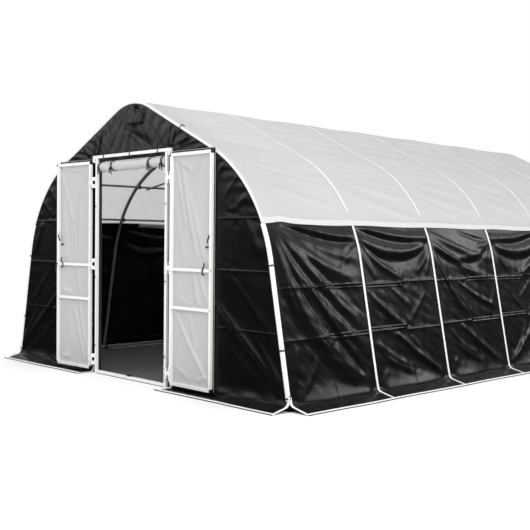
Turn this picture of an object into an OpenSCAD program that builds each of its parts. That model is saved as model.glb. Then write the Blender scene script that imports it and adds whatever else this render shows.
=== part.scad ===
// Hoop-framed tunnel shelter with a pale roof cover, black walls, a pair of doors and a roll-up curtain.
// Millimetres. The origin is the middle of the footprint at ground level, +Z is up, the doors face -Y,
// and +X is to the right of someone who stands outside the doors and faces them.

/* [Hoops] */
// Width between the leg centrelines at the ground
base_width = 3960; // [3400:10:4400]
// Height of the hoop centreline at the ridge
ridge_height = 2455; // [2350:5:2650]
// Lean of the legs towards the middle, in degrees
leg_lean = 11; // [8:0.5:14]
// Pitch of the rafters, in degrees
roof_pitch = 26; // [23:0.5:29]
// Centreline radius of the shoulder bends
shoulder_radius = 1255; // [1100:5:1350]
// Centreline radius of the ridge bend
ridge_radius = 545; // [400:5:650]
// Distance from one hoop to the next
bay_length = 1016; // [900:2:1200]
// Outer diameter of the hoop tube
hoop_d = 32; // [25:1:38]
// Wall of the hoop tube
hoop_wall = 1.2; // [1:0.1:2]
// Length of the narrowed tube end that plugs into the next tube
swage_len = 45; // [25:1:70]
// Clearance between pieces that lie against each other
fit_gap = 0.3; // [0.2:0.05:0.5]

/* [Purlins and braces] */
// Outer diameter of the purlin tube
purlin_d = 22; // [16:1:28]
// Wall of the purlin, base rail and brace tubes
purlin_wall = 1; // [0.8:0.1:1.6]
// Place of the shoulder purlins on the shoulder bend, in degrees above level
shoulder_purlin_angle = 51; // [46:0.5:54]
// Place of the eave purlins on the shoulder bend, in degrees above level
eave_purlin_angle = 29.5; // [25:0.5:35]
// Outer diameter of the base rails
rail_d = 32; // [25:1:38]
// Height of the base rails' middle above the ground
rail_height = 34; // [30:1:60]
// Outer diameter of the wind braces
brace_d = 19; // [16:1:25]
// Length of a clamp along the tube that it holds
clamp_len = 30; // [20:1:31]
// Least wall of a clamp
clamp_wall = 4; // [3:0.5:6]

/* [Feet] */
// Thickness of the foot plates
foot_thick = 4; // [3:0.5:8]
// Width of a foot plate, across the shelter
foot_width = 100; // [90:1:140]
// Length of a foot plate, along the shelter
foot_length = 100; // [85:1:140]
// Height of the spigot that the leg slides over
foot_spigot = 70; // [40:1:120]
// Diameter of the anchor holes
anchor_d = 11; // [8:0.5:14]
// Distance of the anchor holes from the leg, towards the middle
anchor_inset = 70; // [66:1:74]
// Distance between the two anchor holes of a plate
anchor_pitch = 60; // [45:1:65]

/* [Covers] */
// Thickness of the cover sheets
cloth = 2; // [1:0.25:3]
// Height of the roof cover's lower edge
eave_height = 1390; // [1300:5:1450]
// Height of the sewn band along the roof cover's lower edge
eave_band = 50; // [30:1:80]
// How far the skirt reaches out from the wall
skirt_width = 170; // [120:5:260]
// Radius of the bend where the wall turns into the skirt
skirt_bend = 18; // [12:1:22]
// Height of the strip of skirt that is sewn to the wall
skirt_lap = 30; // [15:1:50]
// Width of the white webbing over the hoops
webbing_width = 22; // [15:1:30]
// Thickness of webbing, trims and piping
webbing_thick = 1.5; // [1:0.25:3]
// Width of the white trim on the corners
trim_width = 30; // [24:1:45]
// Width of the piping along the roof cover's ends
piping_width = 13; // [8:1:20]
// Depth to which the side walls sink in between the hoops
wall_sag = 10; // [6:1:12]
// Depth of the swags that hang between the hoops
wall_swag = 12; // [6:1:14]

/* [Doorway] */
// Clear width between the jambs
door_opening = 1030; // [900:5:1120]
// Side of the square tube of the jambs and the leaves
door_tube = 25; // [22:1:30]
// Wall of that tube
door_wall = 1.5; // [1:0.1:2.5]
// Height of the header's underside
header_height = 2003; // [1990:1:2030]
// How far the header passes the jambs
header_overhang = 45; // [40:1:48]
// Length of the header's turned-down ends
header_return = 37; // [20:1:50]
// Height of the sill above the ground, on its rubber pad
sill_pad = 4; // [3:0.5:8]

/* [Leaves] */
// Height of the leaves' lower edge
leaf_bottom = 33; // [31:1:60]
// Distance from the header's underside down to the leaves' upper edge
leaf_head_gap = 25; // [21:1:60]
// Height of the lower middle rail
lower_rail = 690; // [600:5:760]
// Height of the upper middle rail
upper_rail = 1010; // [900:5:1150]
// Distance from the jamb to the hinge axis, along the wall
hinge_reach = 30; // [26:1:40]
// Distance from the jamb's face to the hinge axis, out of the wall
hinge_standoff = 18; // [16:1:24]
// Distance from the hinge axis to the leaf's edge
leaf_setback = 30; // [24:1:40]
// Height of a hinge
hinge_height = 100; // [70:1:130]
// Diameter of a hinge pin
pin_d = 8; // [6:0.5:10]
// Running clearance round a hinge pin
pin_clearance = 0.05; // [0.03:0.01:0.1]
// Distance of the lowest hinge from the leaf's lower edge
low_hinge_inset = 97; // [60:1:110]
// Height of the middle hinge
middle_hinge = 1020; // [980:5:1150]
// Distance of the highest hinge from the leaf's upper edge
high_hinge_inset = 198; // [80:1:260]
// Angle by which the left leaf stands off the wall
left_ajar = 3.5; // [0:0.5:8]
// Depth of the folds in the leaves' cloth
leaf_fold = 10; // [4:1:16]

/* [Curtain] */
// Diameter of the rolled curtain
roll_d = 96; // [80:1:104]
// Distance from the header's underside down to the roll's axis
roll_drop = 81; // [76:1:120]
// Outer diameter of the tube inside the roll
core_d = 24; // [18:1:30]
// Number of turns in the roll
roll_turns = 5; // [3:1:6]
// Width of the ties round the roll
tie_width = 14; // [8:1:24]

/* [Hidden] */
$fn = 48;

STEEL = "silver";
CLAMP_GREY = "dimgray";
WHITE_STEEL = "whitesmoke";
ROOF_WHITE = "gainsboro";
TRIM_WHITE = "white";
BLACK_CLOTH = "#26282a";
BLACK_PLASTIC = "#141414";
ZINC = "lightsteelblue";

// Hoop outline: a straight leg, a shoulder bend, a straight rafter and half of the ridge bend.
// Each point of it can be taken at an offset outwards, because the offset of an arc is an arc.
hoop_count = 7;
bays = hoop_count - 1;
half_length = bays * bay_length / 2;
hoop_r = hoop_d / 2;
half_base = base_width / 2;
leg_normal = [cos(leg_lean), sin(leg_lean)];
leg_up = [-sin(leg_lean), cos(leg_lean)];
rafter_normal = [sin(roof_pitch), cos(roof_pitch)];
rafter_up = [-cos(roof_pitch), sin(roof_pitch)];
rafter_angle = 90 - roof_pitch;
ridge_centre = [0, ridge_height - ridge_radius];
leg_plane = half_base * cos(leg_lean);
rafter_plane = ridge_centre.y * cos(roof_pitch) + ridge_radius;
shoulder_det = cos(leg_lean + roof_pitch);
shoulder_centre = [
  ((leg_plane - shoulder_radius) * cos(roof_pitch)
    - (rafter_plane - shoulder_radius) * sin(leg_lean)) / shoulder_det,
  ((rafter_plane - shoulder_radius) * cos(leg_lean)
    - (leg_plane - shoulder_radius) * sin(roof_pitch)) / shoulder_det
];
leg_run = (shoulder_centre + shoulder_radius * leg_normal - [half_base, 0]) * leg_up;

function on_shoulder(offset, angle) =
  shoulder_centre + (shoulder_radius + offset) * [cos(angle), sin(angle)];
function on_ridge(offset, angle) = ridge_centre + (ridge_radius + offset) * [cos(angle), sin(angle)];
function on_leg(offset, run) = [half_base, 0] + run * leg_up + offset * leg_normal;
function leg_x(offset, height) = (leg_plane + offset - height * sin(leg_lean)) / cos(leg_lean);
function rafter_z(offset, x) = (rafter_plane + offset - x * sin(roof_pitch)) / cos(roof_pitch);
function reversed(list) = [for (i = [len(list) - 1:-1:0]) list[i]];
function mirrored(list) = [for (p = reversed(list)) [-p.x, p.y]];
function steps(from, to, count) = [for (i = [0:count]) from + (to - from) * i / count];

// Layers of the covers, as offsets from the hoop centreline
wall_in = hoop_r + fit_gap;
wall_out = wall_in + cloth;
roof_in = wall_out + fit_gap;
roof_out = roof_in + cloth;
skirt_in = wall_out + fit_gap;
band_in = roof_out + fit_gap;
edge_inset = 1;
gable_edge = hoop_r - edge_inset;

// Levels of the front end, as distances out of the front hoop's plane
panel_gap = 0.5;
panel_back = hoop_r + panel_gap;
panel_front = panel_back + cloth;
jamb_back = panel_front + panel_gap;
jamb_front = jamb_back + door_tube;
hinge_level = jamb_front + hinge_standoff;
hinge_plate = 3;
plate_gap = 1;
leaf_drop = hinge_plate + plate_gap;
leaf_face = hinge_level - leaf_drop;
closed_face = hinge_level + leaf_drop;

// Arc steps of the covers
shoulder_steps = 20;
ridge_steps = 10;
bend_steps = 6;

eave_angle = asin((eave_height - shoulder_centre.y) / (shoulder_radius + roof_in));
degrees_per_mm = 180 / PI / shoulder_radius;
wall_tuck = 40;
wall_foot = 1;
wall_top_run = leg_run + (eave_angle - leg_lean) / degrees_per_mm + wall_tuck;

// The roof cover's path from the right eave over the ridge to the left eave
function roof_half(offset) = concat(
  [for (t = steps(eave_angle, rafter_angle, shoulder_steps)) on_shoulder(offset, t)],
  [for (t = steps(rafter_angle, 90, ridge_steps)) on_ridge(offset, t)]
);
function roof_path(offset) = concat(roof_half(offset), mirrored(roof_half(offset)));
// The wall's path from the given height on the leg up to the eave
function wall_path(offset, foot_run) = concat(
  [on_leg(offset, foot_run)],
  [for (t = steps(leg_lean, eave_angle, shoulder_steps)) on_shoulder(offset, t)]
);
function gable_half(offset, foot) = concat(
  [[leg_x(offset, foot), foot]],
  [for (t = steps(leg_lean, rafter_angle, shoulder_steps)) on_shoulder(offset, t)],
  [for (t = steps(rafter_angle, 90, ridge_steps)) on_ridge(offset, t)]
);
function band(inner, outer) = concat(outer, reversed(inner));

// Turns a drawing in X and Z into a slab that runs from one Y to another
module slab(y_from, y_to) {
  translate([0, y_to, 0]) rotate([90, 0, 0]) linear_extrude(height = y_to - y_from) children();
}
// Does the same between two distances out of the front hoop's plane
module front_slab(level_from, level_to) {
  slab(-half_length - level_to, -half_length - level_from) children();
}
// Repeats a front piece at the rear
module both_ends() {
  children();
  mirror([0, 1, 0]) children();
}
module both_sides() {
  children();
  mirror([1, 0, 0]) children();
}
// Lays Z along the direction from one point to another in the X-Z drawing plane
module along(from, to) {
  way = to - from;
  translate([from.x, from.y, 0]) rotate([0, 0, atan2(way.y, way.x)]) rotate([0, 90, 0]) children();
}

module tube(length, radius, wall) {
  difference() {
    cylinder(h = length, r = radius);
    translate([0, 0, -1]) cylinder(h = length + 2, r = radius - wall);
  }
}
// The narrowed end of a tube, which starts just inside it and plugs into the next one
module swage(radius, wall) {
  root = 4;
  bore = radius - 2 * wall - fit_gap;
  translate([0, 0, -root]) tube(root, radius - wall / 2, radius - wall / 2 - bore);
  translate([0, 0, -root]) tube(root + swage_len, radius - wall - fit_gap, wall);
}
module square_tube(length) {
  inner = door_tube - 2 * door_wall;
  difference() {
    cube([door_tube, door_tube, length]);
    translate([door_wall, door_wall, -1]) cube([inner, inner, length + 2]);
  }
}

// A closed sheet between two grids of points of the same size
module sheet(front, back) {
  rows = len(front);
  cols = len(front[0]);
  count = rows * cols;
  points = concat([for (row = front) each row], [for (row = back) each row]);
  at = function(i, j) i * cols + j;
  skin = [
    for (i = [0:rows - 2])
      for (j = [0:cols - 2])
        each [
          [at(i, j), at(i, j + 1), at(i + 1, j + 1)],
          [at(i, j), at(i + 1, j + 1), at(i + 1, j)],
          [count + at(i, j), count + at(i + 1, j + 1), count + at(i, j + 1)],
          [count + at(i, j), count + at(i + 1, j), count + at(i + 1, j + 1)]
        ]
  ];
  rim = concat(
    [for (j = [0:cols - 1]) at(0, j)],
    [for (i = [1:rows - 1]) at(i, cols - 1)],
    [for (j = [cols - 2:-1:0]) at(rows - 1, j)],
    [for (i = [rows - 2:-1:1]) at(i, 0)]
  );
  edge = [
    for (k = [0:len(rim) - 1])
      let(a = rim[k], b = rim[(k + 1) % len(rim)])
        each [[a, count + a, b], [b, count + a, count + b]]
  ];
  polyhedron(points = points, faces = concat(skin, edge));
}

// Hoops

function hoop_y(index) = -half_length + (index - 1) * bay_length;
module ring() {
  difference() {
    circle(r = hoop_r);
    circle(r = hoop_r - hoop_wall);
  }
}
module bend(centre, radius, from_angle, turn) {
  translate([centre.x, centre.y, 0]) rotate([0, 0, from_angle])
    rotate_extrude(angle = turn, $fn = 96) translate([radius, 0]) ring();
}
module hoop_side() {
  shoulder_foot = on_shoulder(0, leg_lean);
  shoulder_top = on_shoulder(0, rafter_angle);
  rafter_top = on_ridge(0, rafter_angle);
  below = 60;
  // Leg, cut level where it stands on its foot plate
  difference() {
    along(on_leg(0, -below), shoulder_foot) tube(leg_run + below - fit_gap, hoop_r, hoop_wall);
    translate([half_base - 2 * hoop_d, -2 * below, -hoop_d])
      cube([4 * hoop_d, 2 * below + foot_thick + fit_gap, 2 * hoop_d]);
  }
  // Shoulder bend with a narrowed end at each side
  union() {
    bend(shoulder_centre, shoulder_radius, leg_lean, rafter_angle - leg_lean);
    along(shoulder_foot, shoulder_foot - leg_up) swage(hoop_r, hoop_wall);
    along(shoulder_top, shoulder_top + rafter_up) swage(hoop_r, hoop_wall);
  }
  // Rafter
  along(shoulder_top + fit_gap * rafter_up, rafter_top)
    tube(norm(rafter_top - shoulder_top) - 2 * fit_gap, hoop_r, hoop_wall);
}
module hoop(index) {
  ridge_end = on_ridge(0, rafter_angle);
  color(STEEL) translate([0, hoop_y(index), 0]) rotate([90, 0, 0]) {
    both_sides() hoop_side();
    // Ridge bend with a narrowed end at each side
    union() {
      bend(ridge_centre, ridge_radius, rafter_angle, 2 * roof_pitch);
      both_sides() along(ridge_end, ridge_end - rafter_up) swage(hoop_r, hoop_wall);
    }
  }
}

// Purlins, base rails and the clamps that hold them

purlin_r = purlin_d / 2;
rail_r = rail_d / 2;
purlin_offset = hoop_r + fit_gap + purlin_r;
rail_offset = hoop_r + fit_gap + rail_r;
tube_end = clamp_len / 2 - 1;
bays_per_tube = 2;

// A run of tubes along Y, each plugged into the next over a hoop
module tube_run(at, radius) {
  count = bays / bays_per_tube;
  for (i = [0:count - 1]) {
    from = hoop_y(1 + i * bays_per_tube) - (i == 0 ? tube_end : 0);
    to = hoop_y(1 + (i + 1) * bays_per_tube) + (i == count - 1 ? tube_end : -fit_gap);
    translate([at.x, from, at.y]) rotate([-90, 0, 0]) union() {
      tube(to - from, radius, purlin_wall);
      if (i < count - 1) translate([0, 0, to - from]) swage(radius, purlin_wall);
    }
  }
}
// A saddle under a hoop with a bore for the tube that it carries; X is outwards and Y along the hoop
module clamp(radius) {
  centre = hoop_r + fit_gap + radius;
  depth = centre + radius + fit_gap + clamp_wall;
  width = 2 * (radius + clamp_wall);
  difference() {
    translate([-depth, -width / 2, -clamp_len / 2]) cube([depth, width, clamp_len]);
    translate([0, -width, 0]) rotate([-90, 0, 0]) cylinder(h = 2 * width, r = hoop_r + fit_gap);
    translate([-centre, 0, -clamp_len]) cylinder(h = 2 * clamp_len, r = radius + fit_gap);
  }
}
module at_each_hoop() {
  for (i = [1:hoop_count]) translate([0, hoop_y(i), 0]) rotate([90, 0, 0]) children();
}
module at_angle(point, angle) {
  translate([point.x, point.y, 0]) rotate([0, 0, angle]) children();
}

module ridge_purlin() color(STEEL) tube_run(on_ridge(-purlin_offset, 90), purlin_r);
module shoulder_purlin_right()
  color(STEEL) tube_run(on_shoulder(-purlin_offset, shoulder_purlin_angle), purlin_r);
module shoulder_purlin_left() mirror([1, 0, 0]) shoulder_purlin_right();
module eave_purlin_right()
  color(STEEL) tube_run(on_shoulder(-purlin_offset, eave_purlin_angle), purlin_r);
module eave_purlin_left() mirror([1, 0, 0]) eave_purlin_right();
module purlin_clamps() {
  color(CLAMP_GREY) at_each_hoop() {
    at_angle(on_ridge(0, 90), 90) clamp(purlin_r);
    both_sides()
      for (angle = [shoulder_purlin_angle, eave_purlin_angle])
        at_angle(on_shoulder(0, angle), angle) clamp(purlin_r);
  }
}

rail_run = (rail_height + rail_offset * sin(leg_lean)) / cos(leg_lean);
module base_rail_right() color(STEEL) tube_run(on_leg(-rail_offset, rail_run), rail_r);
module base_rail_left() mirror([1, 0, 0]) base_rail_right();
// The rail's saddle reaches no lower than its foot plate
module base_rail_clamps() {
  color(CLAMP_GREY) intersection() {
    at_each_hoop() both_sides() at_angle(on_leg(0, rail_run), leg_lean) clamp(rail_r);
    translate([-base_width, -2 * half_length, foot_thick + fit_gap])
      cube([2 * base_width, 4 * half_length, ridge_height]);
  }
}

// Feet: the plate reaches inwards, so that the wall hangs straight past it
foot_edge = hoop_r - 2;
foot_corner = 12;
module foot_plate() {
  spigot_r = hoop_r - hoop_wall - fit_gap;
  plate_y = foot_edge - 1;
  difference() {
    union() {
      linear_extrude(height = foot_thick) difference() {
        translate([foot_edge - foot_width, -plate_y]) square([foot_width, foot_length]);
        // Cut-off inner corners
        for (y = [-plate_y, foot_length - plate_y])
          translate([foot_edge - foot_width, y]) rotate(45)
            square(foot_corner * sqrt(2), center = true);
      }
      intersection() {
        rotate([0, -leg_lean, 0]) translate([0, 0, -foot_spigot])
          tube(2 * foot_spigot, spigot_r, hoop_wall);
        translate([-foot_width, -foot_length, foot_thick / 2])
          cube([2 * foot_width, 2 * foot_length, foot_spigot]);
      }
    }
    for (y = [0, anchor_pitch])
      translate([-anchor_inset, y, -1]) cylinder(h = foot_thick + 2, d = anchor_d);
  }
}
module foot_plates() {
  color(STEEL) both_sides()
    for (i = [1:hoop_count])
      translate([half_base, hoop_y(i), 0]) mirror([0, i == hoop_count ? 1 : 0, 0]) foot_plate();
}

// Wind braces rise from the shoulder purlin beside the second hoop to the third hoop's rafter
brace_r = brace_d / 2;
brace_start = 110;
brace_top_x = 480;
module wind_brace() {
  low_offset = -(purlin_offset + purlin_r + fit_gap + brace_r);
  low_drawn = on_shoulder(low_offset, shoulder_purlin_angle);
  low = [low_drawn.x, hoop_y(2) + brace_start, low_drawn.y];
  high_offset = -(hoop_r + fit_gap + brace_r);
  high = [brace_top_x, hoop_y(3), rafter_z(high_offset, brace_top_x)];
  way = high - low;
  past = 25;
  translate(low) rotate([0, acos(way.z / norm(way)), atan2(way.y, way.x)])
    translate([0, 0, -past]) tube(norm(way) + 2 * past, brace_r, purlin_wall);
}
module wind_braces() color(STEEL) both_ends() both_sides() wind_brace();

// Gable posts stand behind the jambs and reach up to the end hoops
post_x = door_opening / 2;
post_mid = post_x + door_tube / 2;
head_wall = 12;
head_offset = -(hoop_r + fit_gap + head_wall);
bolt_heights = [260, 900, 1560];
bolt_r = 4;
module gable_post() {
  top = rafter_z(head_offset - fit_gap, post_x);
  difference() {
    translate([post_x, -half_length - door_tube / 2, 0]) square_tube(top);
    translate([0, -half_length + door_tube, 0]) rotate([90, 0, 0])
      at_angle([post_mid, rafter_z(head_offset - fit_gap, post_mid)], -roof_pitch)
        translate([-door_tube * 2, 0, 0]) cube([door_tube * 4, door_tube * 4, door_tube * 2]);
    jamb_bolt_holes();
  }
}
module gable_posts() color(STEEL) both_ends() both_sides() gable_post();
// A saddle between the top of each post and the hoop
module gable_post_heads() {
  length = 60;
  color(CLAMP_GREY) both_ends() both_sides()
    translate([0, -half_length, 0]) rotate([90, 0, 0])
      at_angle([post_mid, rafter_z(0, post_mid)], rafter_angle) difference() {
        translate([head_offset, -length / 2, -clamp_len / 2])
          cube([-head_offset, length, clamp_len]);
        translate([0, -length, 0]) rotate([-90, 0, 0])
          cylinder(h = 2 * length, r = hoop_r + fit_gap);
      }
}
// Ground rails of the two ends, between the posts and the side rails
module gable_rail(from, to) {
  translate([from, -half_length + door_tube / 2, rail_height - door_tube / 2])
    rotate([90, 0, 90]) translate([-door_tube, 0, 0]) square_tube(to - from);
}
module gable_base_rails() {
  clamp_back = -(rail_offset + rail_r + fit_gap + clamp_wall);
  to = leg_x(clamp_back, rail_height + door_tube / 2) - fit_gap;
  color(STEEL) {
    both_ends() both_sides() gable_rail(post_x + door_tube + fit_gap, to);
    mirror([0, 1, 0]) gable_rail(-post_x + fit_gap, post_x - fit_gap);
  }
}

// Doorway: jambs, header and sill stand in front of the gable's cloth

// Bores for the bolts that hold jamb, cloth and post together
module jamb_bolt_holes() {
  for (z = bolt_heights)
    translate([post_mid, -half_length, z]) rotate([90, 0, 0])
      cylinder(h = 4 * hinge_level, r = bolt_r + fit_gap, center = true);
}
leaf_top = header_height - leaf_head_gap;
hinge_heights = [leaf_bottom + low_hinge_inset, middle_hinge, leaf_top - high_hinge_inset];
hinge_screw_r = 2.5;
screw_inset = 20;
hinge_screw_pitch = hinge_height - 2 * screw_inset;
screw_zs = [for (z = hinge_heights) each [z - hinge_screw_pitch / 2, z + hinge_screw_pitch / 2]];
module screw_holes(x, level) {
  for (z = screw_zs)
    translate([x, -half_length - level, z]) rotate([90, 0, 0])
      cylinder(h = door_tube, r = hinge_screw_r + fit_gap, center = true);
}
module door_jamb_right() {
  color(WHITE_STEEL) difference() {
    translate([post_x, -half_length - jamb_front, 0]) square_tube(header_height - fit_gap);
    jamb_bolt_holes();
    screw_holes(post_mid, jamb_front);
  }
}
module door_jamb_left() mirror([1, 0, 0]) door_jamb_right();

header_half = post_x + door_tube + header_overhang;
header_tie_places = [-0.7, 0, 0.7];
module door_header() {
  color(WHITE_STEEL) {
    translate([-header_half + door_tube, -half_length - jamb_back, header_height])
      rotate([90, 0, 90]) translate([-door_tube, 0, 0]) square_tube(2 * (header_half - door_tube));
    // Turned-down ends, which close the tube
    both_sides() front_slab(jamb_back, jamb_front)
      translate([header_half - door_tube + fit_gap, header_height - header_return])
        square([door_tube - fit_gap, header_return + door_tube]);
  }
}
sill_half = post_x - fit_gap;
sill_bolt_inset = 45;
sill_bolt_x = post_x - sill_bolt_inset;
module sill_bolt_holes() {
  for (x = [-sill_bolt_x, sill_bolt_x])
    translate([x, -half_length - (jamb_back + jamb_front) / 2, -1])
      cylinder(h = sill_pad + door_tube + 2, r = bolt_r + fit_gap);
}
module door_sill() {
  color(WHITE_STEEL) difference() {
    translate([-sill_half, -half_length - jamb_back, sill_pad])
      rotate([90, 0, 90]) translate([-door_tube, 0, 0]) square_tube(2 * sill_half);
    sill_bolt_holes();
  }
}
// Pad under the sill, and the stop block on its middle
module sill_rubbers() {
  pad_margin = 4;
  pad_half = doorway_half - fit_gap;
  stop = [46, 30, 12];
  color(BLACK_PLASTIC) {
    difference() {
      front_slab(jamb_back - pad_margin, jamb_front + pad_margin)
        translate([-pad_half, 0]) square([2 * pad_half, sill_pad]);
      sill_bolt_holes();
    }
    translate([-stop.x / 2, -half_length - jamb_front, sill_pad + door_tube])
      cube([stop.x, min(stop.y, door_tube), stop.z]);
  }
}
// Straps over the header, open at the back where the cloth lies
module header_ties() {
  color(BLACK_PLASTIC)
    for (x = header_half * header_tie_places)
      translate([x - tie_width / 2, -half_length - jamb_back, header_height])
        rotate([90, 0, 90]) linear_extrude(height = tie_width) difference() {
          translate([-door_tube - webbing_thick - fit_gap, -webbing_thick - fit_gap])
            square([door_tube + webbing_thick + fit_gap, door_tube + 2 * (webbing_thick + fit_gap)]);
          translate([-door_tube - fit_gap, -fit_gap])
            square([door_tube + 2 * fit_gap, door_tube + 2 * fit_gap]);
        }
}

HEAD_TO_SHANK = 1.9;
// A hexagon-headed bolt whose head seats at the origin, with its shank along -Z
module hex_bolt(length) {
  head = 5.2;
  cylinder(h = head, r = bolt_r * HEAD_TO_SHANK, $fn = 6);
  translate([0, 0, -length]) cylinder(h = length, r = bolt_r);
}
// A pan-headed screw whose head seats at the origin, with its shank along -Z
module hinge_screw() {
  past = 4;
  head = 2.5;
  length = hinge_plate + door_wall + past;
  cylinder(h = head, r = hinge_screw_r * HEAD_TO_SHANK);
  translate([0, 0, -length]) cylinder(h = length, r = hinge_screw_r);
}
module frame_bolts() {
  jamb_grip = jamb_front + door_tube / 2 - 1;
  color(ZINC) {
    both_sides() {
      for (z = bolt_heights)
        translate([post_mid, -half_length - jamb_front, z]) rotate([90, 0, 0]) hex_bolt(jamb_grip);
      for (z = screw_zs)
        translate([post_mid, -half_length - jamb_front - hinge_plate, z])
          rotate([90, 0, 0]) hinge_screw();
    }
    for (x = [-sill_bolt_x, sill_bolt_x])
      translate([x, -half_length - (jamb_back + jamb_front) / 2, sill_pad + door_tube])
        hex_bolt(sill_pad + door_tube);
  }
}

// Covers

cover_y = half_length + panel_front;
module roof_cover() {
  color(ROOF_WHITE) slab(-cover_y, cover_y) polygon(band(roof_path(roof_in), roof_path(roof_out)));
}
module eave_bands() {
  top = eave_angle + eave_band * degrees_per_mm;
  path = function(offset) [for (t = steps(eave_angle, top, 3)) on_shoulder(offset, t)];
  color(TRIM_WHITE) both_sides()
    slab(-cover_y, cover_y) polygon(band(path(band_in), path(band_in + cloth)));
}

// Side walls: tight over the hoops, and hanging in swags between them.
// A swag is a level line of the height less a dip that is greatest in the middle of the bay.
swag_pitch = 0.3;
swag_dip = 0.2;
arc_rows = 7;
leg_rows = 6;
bay_cols = 6;
flat_half = max(webbing_width, hoop_d) / 2;
function wall_fold(across, down) =
  let(belly = sin(180 * across),
      wave = 0.5 + 0.5 * cos(360 * (down - swag_dip * 4 * across * (1 - across)) / swag_pitch),
      fade = 0.15 + 0.85 * (1 - down))
    -belly * (wall_sag * sin(180 * pow(down, 0.5)) + wall_swag * wave * fade * min(1, 8 * down));
function wall_point(run, offset) =
  run <= leg_run
    ? on_leg(offset, run)
    : on_shoulder(offset, leg_lean + (run - leg_run) * degrees_per_mm);
wall_columns = concat(
  [[-half_length - panel_front, 0]],
  [for (bay = [1:bays])
    for (k = [0:bay_cols])
      [hoop_y(bay) + flat_half + (bay_length - 2 * flat_half) * k / bay_cols, k / bay_cols]],
  [[half_length + panel_front, 0]]
);
arc_share = (wall_top_run - leg_run) / (wall_top_run - wall_foot);
wall_downs = concat(
  steps(0, arc_share, arc_rows),
  [for (k = [1:leg_rows]) arc_share + (1 - arc_share) * k / leg_rows]
);
function wall_grid(offset) = [
  for (column = wall_columns)
    [for (down = wall_downs)
      let(run = wall_top_run + (wall_foot - wall_top_run) * down,
          p = wall_point(run, offset + wall_fold(column[1], down)))
        [p.x, column[0], p.y]]
];
module side_wall_right() color(BLACK_CLOTH) sheet(wall_grid(wall_in), wall_grid(wall_out));
module side_wall_left() mirror([1, 0, 0]) side_wall_right();

panel_foot = 3;
module gable_outline() polygon(concat(gable_half(gable_edge, panel_foot),
                                      mirrored(gable_half(gable_edge, panel_foot))));
doorway_turning = 2;
doorway_valance = 18;
doorway_half = post_x - doorway_turning;
doorway_top = header_height - doorway_valance;
module front_gable_panel() {
  color(BLACK_CLOTH) difference() {
    front_slab(panel_back, panel_front) difference() {
      gable_outline();
      translate([-doorway_half, 0]) square([2 * doorway_half, doorway_top]);
    }
    both_sides() jamb_bolt_holes();
  }
}
module rear_gable_panel()
  color(BLACK_CLOTH) mirror([0, 1, 0]) front_slab(panel_back, panel_front) gable_outline();

// Skirts: down the wall, round a bend and flat along the ground.
// The path lies a given height above the skirt's underside, for a wall that leans by a given angle.
function skirt_path(lean, plane, height, top) =
  let(normal = [cos(lean), sin(lean)],
      up = [-sin(lean), cos(lean)],
      centre = [(plane + skirt_bend * (1 - sin(lean))) / cos(lean), skirt_bend],
      radius = skirt_bend - height)
    concat(
      [[plane / cos(lean) + skirt_width, height]],
      [for (t = steps(270, 180 + lean, bend_steps)) centre + radius * [cos(t), sin(t)]],
      top > 0 ? [centre - radius * normal + top * up] : []
    );
side_plane = leg_plane + skirt_in;
end_level = panel_front + fit_gap;
end_plane = half_length + end_level;
function side_skirt_path(height, top) = skirt_path(leg_lean, side_plane, height, top);
function end_skirt_path(height, top) = skirt_path(0, end_plane, height, top);
// Draws in Y and Z, swept along X
module end_sweep(x_from, x_to) {
  translate([x_from, 0, 0]) rotate([90, 0, 90]) linear_extrude(height = x_to - x_from) children();
}
side_skirt_end = half_length + panel_back;
end_skirt_side = leg_x(wall_in, 0);
doorway_skirt = header_half;
module side_skirts() {
  color(BLACK_CLOTH) both_sides() slab(-side_skirt_end, side_skirt_end)
    polygon(band(side_skirt_path(cloth, skirt_lap), side_skirt_path(0, skirt_lap)));
}
module gable_skirts() {
  color(BLACK_CLOTH) {
    mirror([0, 1, 0]) both_sides() end_sweep(doorway_skirt, end_skirt_side)
      polygon(band(end_skirt_path(cloth, skirt_lap), end_skirt_path(0, skirt_lap)));
    end_sweep(-end_skirt_side, end_skirt_side)
      polygon(band(end_skirt_path(cloth, skirt_lap), end_skirt_path(0, skirt_lap)));
  }
}
// Webbing lies over wall and skirt, a clearance above the skirt
web_low = cloth + fit_gap;
web_high = web_low + webbing_thick;
web_top = skirt_lap;
// A bead along the outer edge of each skirt, and a strip up each of its ends
module hem_piping() {
  bead = 6;
  strip = 15;
  side_hem = side_plane / cos(leg_lean) + skirt_width + fit_gap;
  end_hem = end_plane + skirt_width + fit_gap;
  side_strip = band(side_skirt_path(web_high, web_top), side_skirt_path(web_low, web_top));
  end_strip = band(end_skirt_path(web_high, web_top), end_skirt_path(web_low, web_top));
  color(TRIM_WHITE) {
    both_sides() slab(-side_skirt_end, side_skirt_end)
      translate([side_hem, 0]) square(bead);
    both_ends() both_sides() slab(-side_skirt_end, -side_skirt_end + strip) polygon(side_strip);
    mirror([0, 1, 0]) both_sides() end_sweep(doorway_skirt, end_skirt_side)
      translate([end_hem, 0]) square(bead);
    end_sweep(-end_skirt_side, end_skirt_side) translate([end_hem, 0]) square(bead);
    both_ends() both_sides() end_sweep(end_skirt_side - strip, end_skirt_side) polygon(end_strip);
  }
}
module wall_webbing() {
  path = function(height) concat(
    side_skirt_path(height, 0),
    [for (t = steps(leg_lean, eave_angle, shoulder_steps)) on_shoulder(skirt_in + height, t)]
  );
  color(TRIM_WHITE) both_sides()
    for (i = [2:hoop_count - 1])
      slab(hoop_y(i) - webbing_width / 2, hoop_y(i) + webbing_width / 2)
        polygon(band(path(web_low), path(web_high)));
}
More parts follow.
